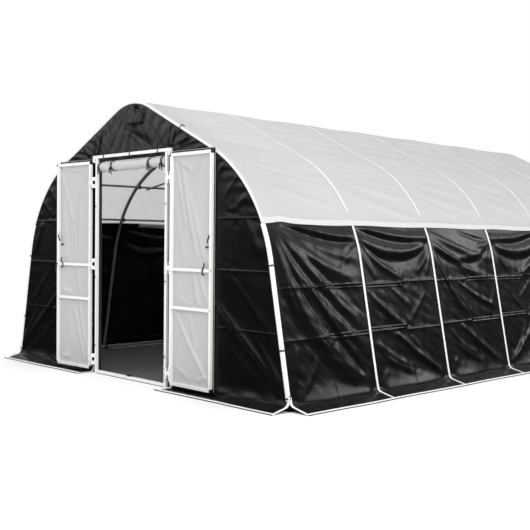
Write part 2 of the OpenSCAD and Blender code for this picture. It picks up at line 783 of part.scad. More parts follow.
// White trims wrap the four corners from the skirts up to the roof cover
module corner_trims() {
  foot_run = skirt_lap + 2 * skirt_bend;
  outer = skirt_in + webbing_thick;
  color(TRIM_WHITE) both_ends() both_sides() {
    front_slab(panel_front + fit_gap, panel_front + fit_gap + webbing_thick)
      polygon(band(wall_path(outer - trim_width, foot_run), wall_path(outer, foot_run)));
    front_slab(-trim_width / 2, panel_front + fit_gap)
      polygon(band(wall_path(skirt_in, foot_run), wall_path(outer, foot_run)));
  }
}
module roof_edge_piping() {
  back = panel_front + fit_gap;
  color(TRIM_WHITE) both_ends() front_slab(back, back + 2 * webbing_thick)
    polygon(band(roof_path(roof_out - piping_width), roof_path(roof_out)));
}

// Roll-up curtain, which hangs from the back of the gable's cloth between the posts

roll_r = roll_d / 2;
roll_height = header_height - roll_drop;
roll_tie_places = [-0.95, -0.57, 0.57, 0.93];
roll_margin = 15;
tie_thick = 2.5;
roll_gap = 8;
roll_level = closed_face - roll_gap - tie_thick - fit_gap - roll_r;
roll_half = post_x - roll_margin;
core_r = core_d / 2;
spiral_step = 15;
// The roll's section winds out from the core by an even amount in each turn
roll_start = core_r + fit_gap;
roll_pitch = (roll_r - cloth - roll_start) / roll_turns;
function spiral(extra) = [
  for (t = [0:spiral_step:360 * roll_turns])
    (roll_start + roll_pitch * t / 360 + extra) * [cos(t), sin(t)]
];
module on_roll_axis(from, to) {
  translate([from, -half_length - roll_level, roll_height]) rotate([90, 0, 90])
    linear_extrude(height = to - from) children();
}
module curtain_roll() {
  color(TRIM_WHITE) on_roll_axis(-roll_half, roll_half) polygon(band(spiral(0), spiral(cloth)));
}
module curtain_core() {
  past = 4;
  color(STEEL) on_roll_axis(-roll_half - past, roll_half + past) difference() {
    circle(r = core_r);
    circle(r = core_r - purlin_wall);
  }
}
module curtain_ties() {
  inner = roll_r + fit_gap;
  color(BLACK_PLASTIC)
    for (x = roll_half * roll_tie_places)
      on_roll_axis(x - tie_width / 2, x + tie_width / 2) difference() {
        circle(r = inner + tie_thick);
        circle(r = inner);
      }
}
module curtain_sheet() {
  top = header_height + door_tube / 2;
  back = panel_back - fit_gap - cloth;
  foot = roll_height + roll_r + tie_thick + 2 * fit_gap;
  color(TRIM_WHITE) front_slab(back, back + cloth)
    translate([-roll_half, foot]) square([2 * roll_half, top - foot]);
}

// Doors. A leaf is drawn open, flat along the wall to the right of the doorway.

axis_x = post_x + door_tube + hinge_reach;
leaf_x = axis_x + leaf_setback;
meeting_gap = 2;
leaf_width = axis_x - leaf_setback - meeting_gap;
leaf_y = -half_length - leaf_face;
knuckle_r = pin_d / 2 + 3;
knuckle_gap = 0.5;
knuckle = (hinge_height - 2 * knuckle_gap) / 3;

// Places the left leaf's pieces, mirrored and standing off the wall; the right leaf's stay as drawn
module left_leaf() {
  translate([-axis_x, -half_length - hinge_level, 0]) rotate([0, 0, left_ajar])
    translate([axis_x, half_length + hinge_level, 0]) mirror([1, 0, 0]) children();
}

module leaf_stiles() {
  length = leaf_top - leaf_bottom - 2 * (door_tube + fit_gap);
  color(WHITE_STEEL) difference() {
    for (x = [leaf_x, leaf_x + leaf_width - door_tube])
      translate([x, leaf_y, leaf_bottom + door_tube + fit_gap]) square_tube(length);
    screw_holes(leaf_x + door_tube / 2, leaf_face);
  }
}
module leaf_rail(x, height, length) {
  translate([x, leaf_y + door_tube, height]) rotate([90, 0, 90])
    translate([-door_tube, 0, 0]) square_tube(length);
}
module leaf_rails() {
  inner = leaf_width - 2 * (door_tube + fit_gap);
  color(WHITE_STEEL) {
    for (z = [leaf_bottom, leaf_top - door_tube]) leaf_rail(leaf_x, z, leaf_width);
    for (z = [lower_rail, upper_rail])
      leaf_rail(leaf_x + door_tube + fit_gap, z - door_tube / 2, inner);
  }
}

// The leaf's cloth lies behind the tubes and bellies forward between them in folds that fan out
panel_level = door_tube + fit_gap;
panel_edge = 3;
field_gap = 1;
fan_waves = 3.5;
field_rows = [6, 4, 9];
field_cols = 8;
fields = [
  [leaf_bottom + door_tube + field_gap, lower_rail - door_tube / 2 - field_gap],
  [lower_rail + door_tube / 2 + field_gap, upper_rail - door_tube / 2 - field_gap],
  [upper_rail + door_tube / 2 + field_gap, leaf_top - door_tube - field_gap]
];
function leaf_fold_at(across, up) =
  let(window = min(1, 3 * sin(180 * across)) * min(1, 3 * sin(180 * up)),
      fan = 0.5 + 0.5 * sin(360 * fan_waves * across * (1.15 - 0.5 * up)))
    -leaf_fold * window * (0.35 + 0.65 * fan);
field_edge = door_tube + field_gap;
panel_us = concat([[panel_edge, 0]],
  [for (k = [0:field_cols])
    [field_edge + (leaf_width - 2 * field_edge) * k / field_cols, k / field_cols]],
  [[leaf_width - panel_edge, 0]]);
panel_zs = concat([[leaf_bottom + panel_edge, 0]],
  [for (f = [0:len(fields) - 1])
    for (k = [0:field_rows[f]])
      [fields[f][0] + (fields[f][1] - fields[f][0]) * k / field_rows[f], k / field_rows[f]]],
  [[leaf_top - panel_edge, 0]]);
function panel_grid(level) = [
  for (z = panel_zs)
    [for (u = panel_us) [leaf_x + u[0], leaf_y + level + leaf_fold_at(u[1], z[1]), z[0]]]
];
module leaf_panel()
  color(ROOF_WHITE) sheet(panel_grid(panel_level), panel_grid(panel_level + cloth));

// The black outer skin stands past the frame at the top. The right one also passes the meeting edge,
// and the left one is held back from it by as much and a little more.
skin_level = panel_level + cloth + fit_gap;
skin_top = 18;
skin_hinge_edge = 8;
skin_lap = 10;
module leaf_skin(free_edge) {
  color(BLACK_CLOTH) translate([leaf_x - skin_hinge_edge, leaf_y + skin_level, leaf_bottom])
    cube([leaf_width + skin_hinge_edge + free_edge, cloth, leaf_top + skin_top - leaf_bottom]);
}

// Hinges: the jamb's plate carries the two outer knuckles, and the leaf's plate the middle one
module knuckle_bore() circle(r = pin_d / 2 + pin_clearance);
module lift(z, height) {
  translate([0, 0, z]) linear_extrude(height = height) children();
}
module jamb_arm() {
  root_y = -half_length - jamb_front;
  axis_y = -half_length - hinge_level;
  plate_end = post_x + door_tube + hinge_plate;
  difference() {
    union() {
      translate([axis_x, axis_y]) circle(r = knuckle_r);
      polygon([
        [plate_end - 2 * hinge_plate, root_y],
        [plate_end, root_y],
        [axis_x + knuckle_r / 2, axis_y + knuckle_r * 0.7],
        [axis_x - knuckle_r * 0.7, axis_y - knuckle_r * 0.3],
        [plate_end - 2 * hinge_plate, root_y - hinge_plate]
      ]);
    }
    translate([axis_x, axis_y]) knuckle_bore();
  }
}
module hinge_brackets() {
  plate_margin = 1;
  color(WHITE_STEEL) both_sides()
    for (z = hinge_heights) {
      foot = z - hinge_height / 2;
      difference() {
        union() {
          lift(foot, hinge_height)
            translate([post_x + plate_margin, -half_length - jamb_front - hinge_plate])
              square([door_tube, hinge_plate]);
          for (k = [foot, foot + 2 * (knuckle + knuckle_gap)]) lift(k, knuckle) jamb_arm();
        }
        screw_holes(post_mid, jamb_front);
      }
    }
}
module hinge_pins() {
  head = 2.5;
  color(ZINC) both_sides()
    for (z = hinge_heights)
      translate([axis_x, -half_length - hinge_level, z - hinge_height / 2]) {
        cylinder(h = hinge_height, d = pin_d);
        translate([0, 0, hinge_height]) cylinder(h = head, r = knuckle_r);
      }
}
module leaf_hinges() {
  plate_past = 4;
  plate_from = leaf_x - plate_past;
  plate_width = plate_past + door_tube - plate_gap;
  axis_y = -half_length - hinge_level;
  color(WHITE_STEEL)
    for (z = hinge_heights) {
      foot = z - hinge_height / 2;
      difference() {
        union() {
          lift(foot, hinge_height)
            translate([plate_from, leaf_y - hinge_plate]) square([plate_width, hinge_plate]);
          lift(foot + knuckle + knuckle_gap, knuckle) difference() {
            union() {
              translate([axis_x, axis_y]) circle(r = knuckle_r);
              translate([axis_x, leaf_y - hinge_plate]) square([leaf_setback, hinge_plate]);
            }
            translate([axis_x, axis_y]) knuckle_bore();
          }
        }
        screw_holes(leaf_x + door_tube / 2, leaf_face);
      }
    }
}

// Small fittings of a leaf: tube plugs, hinge screws, bolts at the middle rails and a door tie
module leaf_fittings() {
  plug_depth = 14;
  plug_lip = meeting_gap - 2 * fit_gap;
  plug_side = door_tube - 2 * (door_wall + fit_gap);
  tie_inset = 95;
  tie_x = leaf_x + leaf_width - tie_inset;
  tie_loop = [70, 34];
  tie_strap = 8;
  color(BLACK_PLASTIC)
    for (z = [leaf_bottom, leaf_top - door_tube])
      for (end = [0, 1])
        translate([leaf_x + leaf_width * end, leaf_y, z]) mirror([end, 0, 0]) {
          translate([-plug_lip, 0, 0]) cube([plug_lip, door_tube, door_tube]);
          translate([0, door_wall + fit_gap, door_wall + fit_gap])
            cube([plug_depth, plug_side, plug_side]);
        }
  color(ZINC) {
    for (z = screw_zs)
      translate([leaf_x + door_tube / 2, leaf_y - hinge_plate, z]) rotate([90, 0, 0]) hinge_screw();
    for (z = [lower_rail, upper_rail])
      translate([leaf_x + leaf_width - door_tube / 2, leaf_y, z]) rotate([90, 0, 0])
        cylinder(h = bolt_r, r = bolt_r * 1.6);
  }
  // A flat loop of strap on the upper middle rail
  color(BLACK_PLASTIC) translate([tie_x, leaf_y, upper_rail]) rotate([90, 0, 0])
    linear_extrude(height = webbing_thick) difference() {
      union() {
        square(tie_loop - [tie_loop.y, 0], center = true);
        for (end = [-1, 1]) translate([end * (tie_loop.x - tie_loop.y) / 2, 0]) circle(d = tie_loop.y);
      }
      square([tie_loop.x - tie_loop.y, tie_loop.y - 2 * tie_strap], center = true);
    }
}

module left_leaf_stiles() left_leaf() leaf_stiles();
module left_leaf_rails() left_leaf() leaf_rails();
module left_leaf_panel() left_leaf() leaf_panel();
module left_leaf_skin() left_leaf() leaf_skin(-skin_lap - meeting_gap);
module left_leaf_hinges() left_leaf() leaf_hinges();
module left_leaf_fittings() left_leaf() leaf_fittings();
module right_leaf_stiles() leaf_stiles();
module right_leaf_rails() leaf_rails();
module right_leaf_panel() leaf_panel();
module right_leaf_skin() leaf_skin(skin_lap);
module right_leaf_hinges() leaf_hinges();
module right_leaf_fittings() leaf_fittings();

hoop(1);  // hoop_1
hoop(2);  // hoop_2
hoop(3);  // hoop_3
hoop(4);  // hoop_4
hoop(5);  // hoop_5
hoop(6);  // hoop_6
hoop(7);  // hoop_7
ridge_purlin();
shoulder_purlin_left();
shoulder_purlin_right();
eave_purlin_left();
eave_purlin_right();
purlin_clamps();
base_rail_left();
base_rail_right();
base_rail_clamps();
foot_plates();
wind_braces();
gable_posts();
gable_post_heads();
gable_base_rails();
door_jamb_left();
door_jamb_right();
door_header();
door_sill();
sill_rubbers();
header_ties();
frame_bolts();
roof_cover();
eave_bands();
side_wall_left();
side_wall_right();
front_gable_panel();
rear_gable_panel();
side_skirts();
gable_skirts();
hem_piping();
wall_webbing();
corner_trims();
roof_edge_piping();
curtain_sheet();
curtain_roll();
curtain_core();
curtain_ties();
hinge_brackets();
hinge_pins();
left_leaf_stiles();
left_leaf_rails();
left_leaf_panel();
left_leaf_skin();
left_leaf_hinges();
left_leaf_fittings();
right_leaf_stiles();
right_leaf_rails();
right_leaf_panel();
right_leaf_skin();
right_leaf_hinges();
right_leaf_fittings();
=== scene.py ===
# %% [markdown]
# # A hoop-framed tunnel shelter
#
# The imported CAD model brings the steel: hoops, purlins, rails, the door frame and its hinges. It also
# brings plain solids where the cloth goes. This script keeps the steel, gives it its finishes, and replaces
# every soft solid by cloth that sags, folds and creases the way the shelter's covers do.
#
# The order is: sizes, camera, mesh helpers, finishes, then one piece of cloth after another from the roof
# down to the ground, the doors, and last the studio.

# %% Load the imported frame
import math

import bmesh
import bpy
import numpy as np
from mathutils import Matrix, Vector


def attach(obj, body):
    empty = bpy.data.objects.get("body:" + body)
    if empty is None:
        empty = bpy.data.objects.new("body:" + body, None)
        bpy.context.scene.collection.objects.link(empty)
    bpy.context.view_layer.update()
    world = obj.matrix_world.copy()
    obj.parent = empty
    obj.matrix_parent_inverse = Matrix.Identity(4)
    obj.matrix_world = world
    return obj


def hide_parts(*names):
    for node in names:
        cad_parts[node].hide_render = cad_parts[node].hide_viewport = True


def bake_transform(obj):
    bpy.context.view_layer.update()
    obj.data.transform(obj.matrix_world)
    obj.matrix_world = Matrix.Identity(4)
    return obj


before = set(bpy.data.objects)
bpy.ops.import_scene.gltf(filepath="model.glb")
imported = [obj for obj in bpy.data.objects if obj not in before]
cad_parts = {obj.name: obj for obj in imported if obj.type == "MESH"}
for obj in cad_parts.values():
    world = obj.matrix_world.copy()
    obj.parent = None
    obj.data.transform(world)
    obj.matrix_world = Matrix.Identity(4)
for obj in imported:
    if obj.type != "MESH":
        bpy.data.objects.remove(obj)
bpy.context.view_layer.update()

# %% [markdown]
# ## Sizes
#
# The cloth has to lie on the steel, so its sizes are those of the part's source, written here in metres.
# The covers are layers: each one lies at its own distance outside the middle line of the hoop tube.

# %% Sizes of the hoops and the covers
HALF_BASE = 1.980
RIDGE_HEIGHT = 2.455
LEAN = math.radians(11)
PITCH = math.radians(26)
SHOULDER_R = 1.255
RIDGE_R = 0.545
BAY = 1.016
BAYS = 6
HALF_LENGTH = BAYS * BAY / 2
HOOP_YS = np.arange(BAYS + 1) * BAY - HALF_LENGTH
MID_BAY_YS = HOOP_YS[:-1] + BAY / 2

WALL_OUT = 0.0180
ROOF_OUT = 0.0206
COVER_Y = HALF_LENGTH + 0.0185
EAVE_HEIGHT = 1.390
CLOTH_THICK = 0.0010
print(f"{BAYS} bays of {BAY} m: {2 * HALF_LENGTH:.3f} m from the first hoop to the last")

# %% [markdown]
# ## The arch
#
# Every cover follows the outline of a hoop: a leaning leg, a shoulder bend, a straight rafter and the ridge
# bend. One function gives the point at any distance along that outline. It adds up four moves, and each of
# them stops growing where its stretch ends, so whole arrays go through it at once.

# %% The outline of a hoop
RAFTER_ANGLE = math.pi / 2 - PITCH


def spread(*values):
    """Arrays brought to one shape and stacked along a new last axis, as coordinates."""
    return np.stack(np.broadcast_arrays(*values), -1)


def unit(angle):
    """Directions at angles above level: (cosine, sine) along the last axis."""
    return spread(np.cos(angle), np.sin(angle))


LEG_UP = unit(LEAN + math.pi / 2)
RAFTER_UP = unit(RAFTER_ANGLE + math.pi / 2)
LEG_PLANE = HALF_BASE * math.cos(LEAN)
RAFTER_PLANE = (RIDGE_HEIGHT - RIDGE_R) * math.cos(PITCH) + RIDGE_R
SHOULDER = np.linalg.solve(
    np.array([unit(LEAN), unit(RAFTER_ANGLE)]),
    np.array([LEG_PLANE - SHOULDER_R, RAFTER_PLANE - SHOULDER_R]))
RIDGE = np.array([0.0, RIDGE_HEIGHT - RIDGE_R])
FOOT = np.array([HALF_BASE, 0.0])
LEG_RUN = float((SHOULDER + SHOULDER_R * unit(LEAN) - FOOT) @ LEG_UP)
BEND_RUN = LEG_RUN + SHOULDER_R * (RAFTER_ANGLE - LEAN)
RAFTER_LENGTH = float(np.linalg.norm(
    RIDGE + RIDGE_R * unit(RAFTER_ANGLE) - SHOULDER - SHOULDER_R * unit(RAFTER_ANGLE)))
RAFTER_RUN = BEND_RUN + RAFTER_LENGTH
ARCH_HALF = RAFTER_RUN + RIDGE_R * PITCH


def arch(run, offset):
    """Point (x, z) of the arch, and its outward direction.

    run is the distance along the hoop's middle line from the right foot, and offset the distance outside
    it. The point is the foot, plus the way up the leg, plus the turn round the shoulder, plus the way up
    the rafter, plus the turn over the ridge, plus offset times the outward direction. Past the ridge it is
    the mirror image.
    """
    run, offset = np.broadcast_arrays(np.asarray(run, float), np.asarray(offset, float))
    side = np.where(run > ARCH_HALF, -1.0, 1.0)
    run = np.where(run > ARCH_HALF, 2 * ARCH_HALF - run, run)
    shoulder_turn = LEAN + np.clip((run - LEG_RUN) / SHOULDER_R, 0, RAFTER_ANGLE - LEAN)
    ridge_turn = RAFTER_ANGLE + np.clip((run - RAFTER_RUN) / RIDGE_R, 0, PITCH)
    outward = unit(shoulder_turn + ridge_turn - RAFTER_ANGLE)
    point = (FOOT
             + np.minimum(run, LEG_RUN)[..., None] * LEG_UP
             + SHOULDER_R * (unit(shoulder_turn) - unit(LEAN))
             + np.clip(run - BEND_RUN, 0, RAFTER_LENGTH)[..., None] * RAFTER_UP
             + RIDGE_R * (unit(ridge_turn) - unit(RAFTER_ANGLE))
             + offset[..., None] * outward)
    mirror = spread(side, 1.0)
    return point * mirror, outward * mirror


def on_arch(run, y, offset):
    """Points in space on a cover: the arch in X and Z, at a place along the shelter."""
    flat, _ = arch(run, offset)
    return spread(flat[..., 0], y, flat[..., 1])


EAVE_ANGLE = math.asin((EAVE_HEIGHT - SHOULDER[1]) / (SHOULDER_R + ROOF_OUT))
EAVE_RUN = LEG_RUN + (EAVE_ANGLE - LEAN) * SHOULDER_R
print(f"arch: {2 * ARCH_HALF:.3f} m from foot to foot, eave at {EAVE_RUN:.3f} m")

# %% [markdown]
# ## Camera
#
# The photograph was solved for its camera: the straight lines of the walls, the hoops and the door frame
# give the lens and the place. The camera stands off the front right corner, at chest height, and looks a
# little down.

# %% Camera
FRAME_PIXELS = 530
FOCAL_PIXELS = 880.8
SENSOR_MM = 36.0
AZIMUTH = math.radians(45.92)
TILT = math.radians(1.69)
ROLL = math.radians(0.59)
CAMERA_AT = (6.4767, -7.6762, 1.2700)


def camera_axes():
    """Right, up and backward directions of a camera turned by azimuth, tilted down and rolled."""
    level = np.array([math.cos(AZIMUTH), math.sin(AZIMUTH), 0.0])
    ahead = np.array([-math.sin(AZIMUTH) * math.cos(TILT), math.cos(AZIMUTH) * math.cos(TILT),
                      -math.sin(TILT)])
    upright = np.cross(level, ahead)
    right = math.cos(ROLL) * level + math.sin(ROLL) * upright
    up = math.cos(ROLL) * upright - math.sin(ROLL) * level
    return right, up, -ahead


lens = bpy.data.cameras.new("photo_camera")
lens.sensor_fit = "HORIZONTAL"
lens.sensor_width = SENSOR_MM
lens.lens = FOCAL_PIXELS / FRAME_PIXELS * SENSOR_MM
lens.clip_end = 200
camera = bpy.data.objects.new("photo_camera", lens)
axes = np.eye(4)
axes[:3, :3] = np.array(camera_axes()).T
axes[:3, 3] = CAMERA_AT
camera.matrix_world = Matrix(axes.tolist())
bpy.context.scene.collection.objects.link(camera)
bpy.context.scene.camera = camera
print(f"lens {lens.lens:.1f} mm")

# %% [markdown]
# ## Mesh helpers
#
# Two shapes make almost everything here. A sheet is a grid of points joined by quads. A strap, tape or bead
# is a small closed profile carried along a path. Both become one mesh through the same function, with a UV
# map in metres, so a weave keeps its real size whatever the cloth does.

# %% Grids of points to meshes
WELD = 1e-5
UV_MAPS = ("cloth", "packing")


def grid_mesh(name, patches, closed=False):
    """One mesh from patches: points as an array (rows, columns, 3), then UV in metres (rows, columns, 2).

    A patch may have a second UV array, the distances to its packing creases. A quad joins each point to its
    neighbours in the next row and column, and faces along row direction times column direction. A closed
    mesh has the points that fall together welded, and its faces turned outwards.
    """
    points, faces, maps, start = [], [], [], 0
    for grid, *flat in patches:
        rows, cols = grid.shape[:2]
        at = start + np.arange(rows * cols).reshape(rows, cols)
        quads = np.stack([at[:-1, :-1], at[1:, :-1], at[1:, 1:], at[:-1, 1:]], -1)
        points.append(grid.reshape(-1, 3))
        faces.append(quads.reshape(-1, 4))
        maps.append([np.broadcast_to(uv, (rows, cols, 2)).reshape(-1, 2) for uv in flat])
        start += rows * cols
    faces = np.concatenate(faces)
    mesh = bpy.data.meshes.new(name)
    mesh.from_pydata(np.concatenate(points), [], faces)
    for label, parts in zip(UV_MAPS, zip(*maps)):
        layer = mesh.uv_layers.new(name=label)
        layer.data.foreach_set("uv", np.concatenate(parts)[faces.ravel()].astype(np.float32).ravel())
    if closed:
        shell = bmesh.new()
        shell.from_mesh(mesh)
        bmesh.ops.remove_doubles(shell, verts=shell.verts, dist=WELD)
        bmesh.ops.recalc_face_normals(shell, faces=shell.faces)
        shell.to_mesh(mesh)
        shell.free()
    mesh.shade_smooth()
    return mesh


def lengths(points):
    """Distance along a row of points from its first one."""
    steps = np.linalg.norm(np.diff(points, axis=0), axis=-1)
    return np.concatenate([[0.0], np.cumsum(steps)])


def swept(path, across, out, profile, closed=False):
    """A closed profile along a path: path + profile's first number times across + its second times out.

    The two end rings are drawn in to their middles, or a closed path runs back into its own start.
    """
    path, across, out = np.broadcast_arrays(path, across, out)
    if closed:
        path, across, out = (np.concatenate([rows, rows[:1]]) for rows in (path, across, out))
    ring = np.concatenate([profile, profile[:1]])
    grid = path[:, None] + ring[:, :1] * across[:, None] + ring[:, 1:] * out[:, None]
    along, around = lengths(path), lengths(ring)
    if not closed:
        ends = [np.repeat(rows[:-1].mean(0)[None, None], len(ring), 1) for rows in (grid[0], grid[-1])]
        grid = np.concatenate([ends[0], grid, ends[1]])
        along = np.concatenate([along[:1], along, along[-1:]])
    return grid, spread(along[:, None], around)


def round_profile(radius, sides=10):
    """A circle as a closed loop of points."""
    return radius * unit(np.arange(sides) * 2 * math.pi / sides)


def drawn(values, power):
    """Numbers from -1 to 1 drawn out towards -1 and 1 by a power below 1, with their signs kept."""
    return np.sign(values) * np.abs(values) ** power


def strap_profile(width, thick, sides=16):
    """A flat strap with eased edges: a circle whose cosine and sine are drawn out towards a rectangle."""
    c, s = unit((np.arange(sides) + 0.5) * 2 * math.pi / sides).T
    return spread(drawn(c, 0.3) * width / 2, drawn(s, 0.6) * thick / 2)


def samples(start, stop, step, dense=(), reach=0.03, fine=0.006):
    """Even samples from start to stop, with finer ones within reach of each place in dense."""
    even = np.linspace(start, stop, int(math.ceil((stop - start) / step)) + 1)
    for place in dense:
        even = even[np.abs(even - place) > reach + fine / 2]
    extra = [place + np.arange(-round(reach / fine), round(reach / fine) + 1) * fine for place in dense]
    every = np.concatenate([even, *extra, [start, stop]])
    return np.unique(np.round(every[(every >= start) & (every <= stop)], 6))

# %% [markdown]
# A finished mesh becomes a piece: it gets its finish, it rides on one of the CAD bodies, and it stands
# for the CAD nodes that it hides. Sheets get their thickness from a Solidify modifier, inwards, so that the
# drawn surface stays the outer one.

# %% Meshes to pieces
def piece(name, patches, finish, body, stands_for=(), thick=0.0):
    """An object at the origin: its mesh, finish and body, and the nodes that it replaces.

    A sheet has a thickness, and a piece without one is a closed mesh.
    """
    mesh = grid_mesh(name, patches, closed=not thick)
    made = bpy.data.objects.new(name, mesh)
    bpy.context.scene.collection.objects.link(made)
    mesh.materials.append(finish)
    if thick:
        solid = made.modifiers.new("cloth thickness", "SOLIDIFY")
        solid.thickness = thick
        solid.offset = -1
    if body:
        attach(made, body)
    if stands_for:
        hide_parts(*stands_for)
    print(f"{name}: {len(mesh.polygons)} faces")
    return made

# %% [markdown]
# ## Folds
#
# Cloth that is tied at points and hangs between them makes few kinds of shapes: folds that fan out from a
# tied point, swags that hang like a chain between two of them, straight pulled folds, and the ridges left
# where it was packed. Each is a small function of two distances on the cloth. A cover adds up the ones that
# the photograph shows.

# %% Kinds of folds
def fan(a, b, at, toward, half_angle, waves, reach):
    """Folds that fan out from a point: a sine of the direction, inside a window of directions.

    The folds grow with the distance from the point as far as reach, and die out slowly past it.
    """
    da, db = a - at[0], b - at[1]
    away = np.hypot(da, db) / reach
    turn = (np.arctan2(db, da) - toward + math.pi) % (2 * math.pi) - math.pi
    share = np.clip(turn / half_angle, -1, 1)
    theta = math.pi * waves * share
    return (np.sin(theta) + 0.3 * np.sin(2 * theta + 1)) * (1 - share ** 2) * away * np.exp(1 - away)


def swag(a, b, span, drop_from, drop_to, dip, width):
    """A fold that hangs across a span: proud just above a sagging line, and sunk just below it.

    The line goes from one drop to the other and sags by dip in the middle, as a parabola.
    """
    u = a / span
    line = drop_from + (drop_to - drop_from) * u + 4 * dip * u * (1 - u)
    d = (b - line) / width
    return -d * np.exp(0.5 - d * d / 2)


def pull(a, b, a0, b0, a1, b1, width, bow=0.0):
    """A pulled fold from one point to another: a ridge that falls off with the distance from the line.

    It widens along its way and tapers off at both ends, and it is steeper on its right side than on its
    left. A bow bends the line to its left, as a parabola. Right and left hold with a to the right and b
    upwards.
    """
    way_a, way_b = a1 - a0, b1 - b0
    length = math.hypot(way_a, way_b)
    along = ((a - a0) * way_a + (b - b0) * way_b) / length ** 2
    off = ((a - a0) * way_b - (b - b0) * way_a) / length + 4 * bow * along * (1 - along)
    taper = np.sqrt(np.clip(4 * along * (1 - along), 0, 1))
    wide = width * (0.5 + 0.5 * np.clip(along, 0, 1)) * np.where(off > 0, 0.8, 1.25)
    return taper * np.exp(-(off / wide) ** 2)


def all_pulls(a, b, rows, a_size=1.0, b_size=1.0):
    """Pulled folds added up. A row holds start, end, width, height in mm, and a bow if it has one.

    The places in the rows are in metres, or in shares of the sizes that are given.
    """
    return sum(0.001 * height * pull(a, b, a0 * a_size, b0 * b_size, a1 * a_size, b1 * b_size, width, *bow)
               for a0, b0, a1, b1, width, height, *bow in rows)


def ridge(distance, width):
    """A packing crease: a bell-shaped ridge at distance 0."""
    return np.exp(-(distance / width) ** 2)


def zigzag(place, levels):
    """Distance to the nearest of some levels, with a sign that changes at each level and nowhere else.

    It goes through 0 only at the levels, so a material can draw a crisp crease there, finer than the mesh.
    """
    levels = np.array(levels, float)
    half = np.diff(levels) / 2
    far = 9.0
    sign = (-1.0) ** np.arange(len(levels))
    knots = np.concatenate([[levels[0] - far], levels, levels[:-1] + half, [levels[-1] + far]])
    values = np.concatenate([[-far], 0 * levels, sign[:-1] * half, [sign[-1] * far]])
    order = np.argsort(knots)
    return np.interp(place, knots[order], values[order])


def crinkle(a, b, size, seed, waves=9):
    """Uneven cloth, about -1 to 1: plane waves of about one size, in seeded directions, added up."""
    rng = np.random.default_rng(seed)
    angle, phase = rng.uniform(0, 2 * math.pi, (2, waves))
    period = size * rng.uniform(0.7, 1.5, waves)
    ways = np.asarray(a)[..., None] * np.cos(angle) + np.asarray(b)[..., None] * np.sin(angle)
    return np.sin(2 * math.pi * ways / period + phase).sum(-1) / math.sqrt(waves)


def smooth(share):
    """0 below 0, 1 above 1, and an S-shaped rise between: three squares less two cubes."""
    share = np.clip(share, 0, 1)
    return share * share * (3 - 2 * share)

# %% [markdown]
# ## Finishes
#
# One helper turns a colour code to linear light, and one adds a shader node with its settings and its
# inputs, whether they are numbers or links. Each finish then reads as a list of what the eye sees on the
# real material.

# %% Colours and nodes
def linear(code):
    """Linear RGBA of an sRGB hex colour: the standard curve, straight near black and a power above it."""
    srgb = np.array([int(code[i:i + 2], 16) for i in (1, 3, 5)]) / 255
    light = np.where(srgb <= 0.04045, srgb / 12.92, ((srgb + 0.055) / 1.055) ** 2.4)
    return (*light.tolist(), 1.0)


def add(tree, kind, inputs=None, out=0, **settings):
    """Adds a shader node and gives one of its outputs, by number or name.

    Settings go on the node, and inputs on its sockets, as values or as links.
    """
    made = tree.nodes.new("ShaderNode" + kind)
    for key, value in settings.items():
        setattr(made, key, value)
    for key, value in (inputs or {}).items():
        if isinstance(value, bpy.types.NodeSocket):
            tree.links.new(value, made.inputs[key])
        else:
            made.inputs[key].default_value = value
    return made.outputs[out] if made.outputs else None


def start_material(name):
    """A new material with an empty node tree."""
    made = bpy.data.materials.new(name)
    made.use_nodes = True
    made.node_tree.nodes.clear()
    return made, made.node_tree

# %% [markdown]
# The covers are tape-woven polyethylene, laminated with a thin film on both sides. The film gives a soft
# gloss, the tapes under it a fine square relief, and handling leaves small dents all over. The tapes are
# about 2.5 mm wide, which is too fine for this picture, so the relief is drawn at 5 mm. A cover was packed
# folded: a crisp crease runs along each fold, and on parts of the walls a second one beside it makes a
# narrow pleat. Their places come from the second UV map. The pale covers let light through, and that is why
# the roof glows from inside.

# %% Laminated woven polyethylene
TAPE = 0.005
# A wave texture has 20 / (2 pi) bands in a metre at scale 1
BAND_SCALE = 0.314
CLOUD = 0.35
DENT = 0.045
CREASE = 0.012
PLEAT = 0.026
UPRIGHT_FAINT = 0.0048


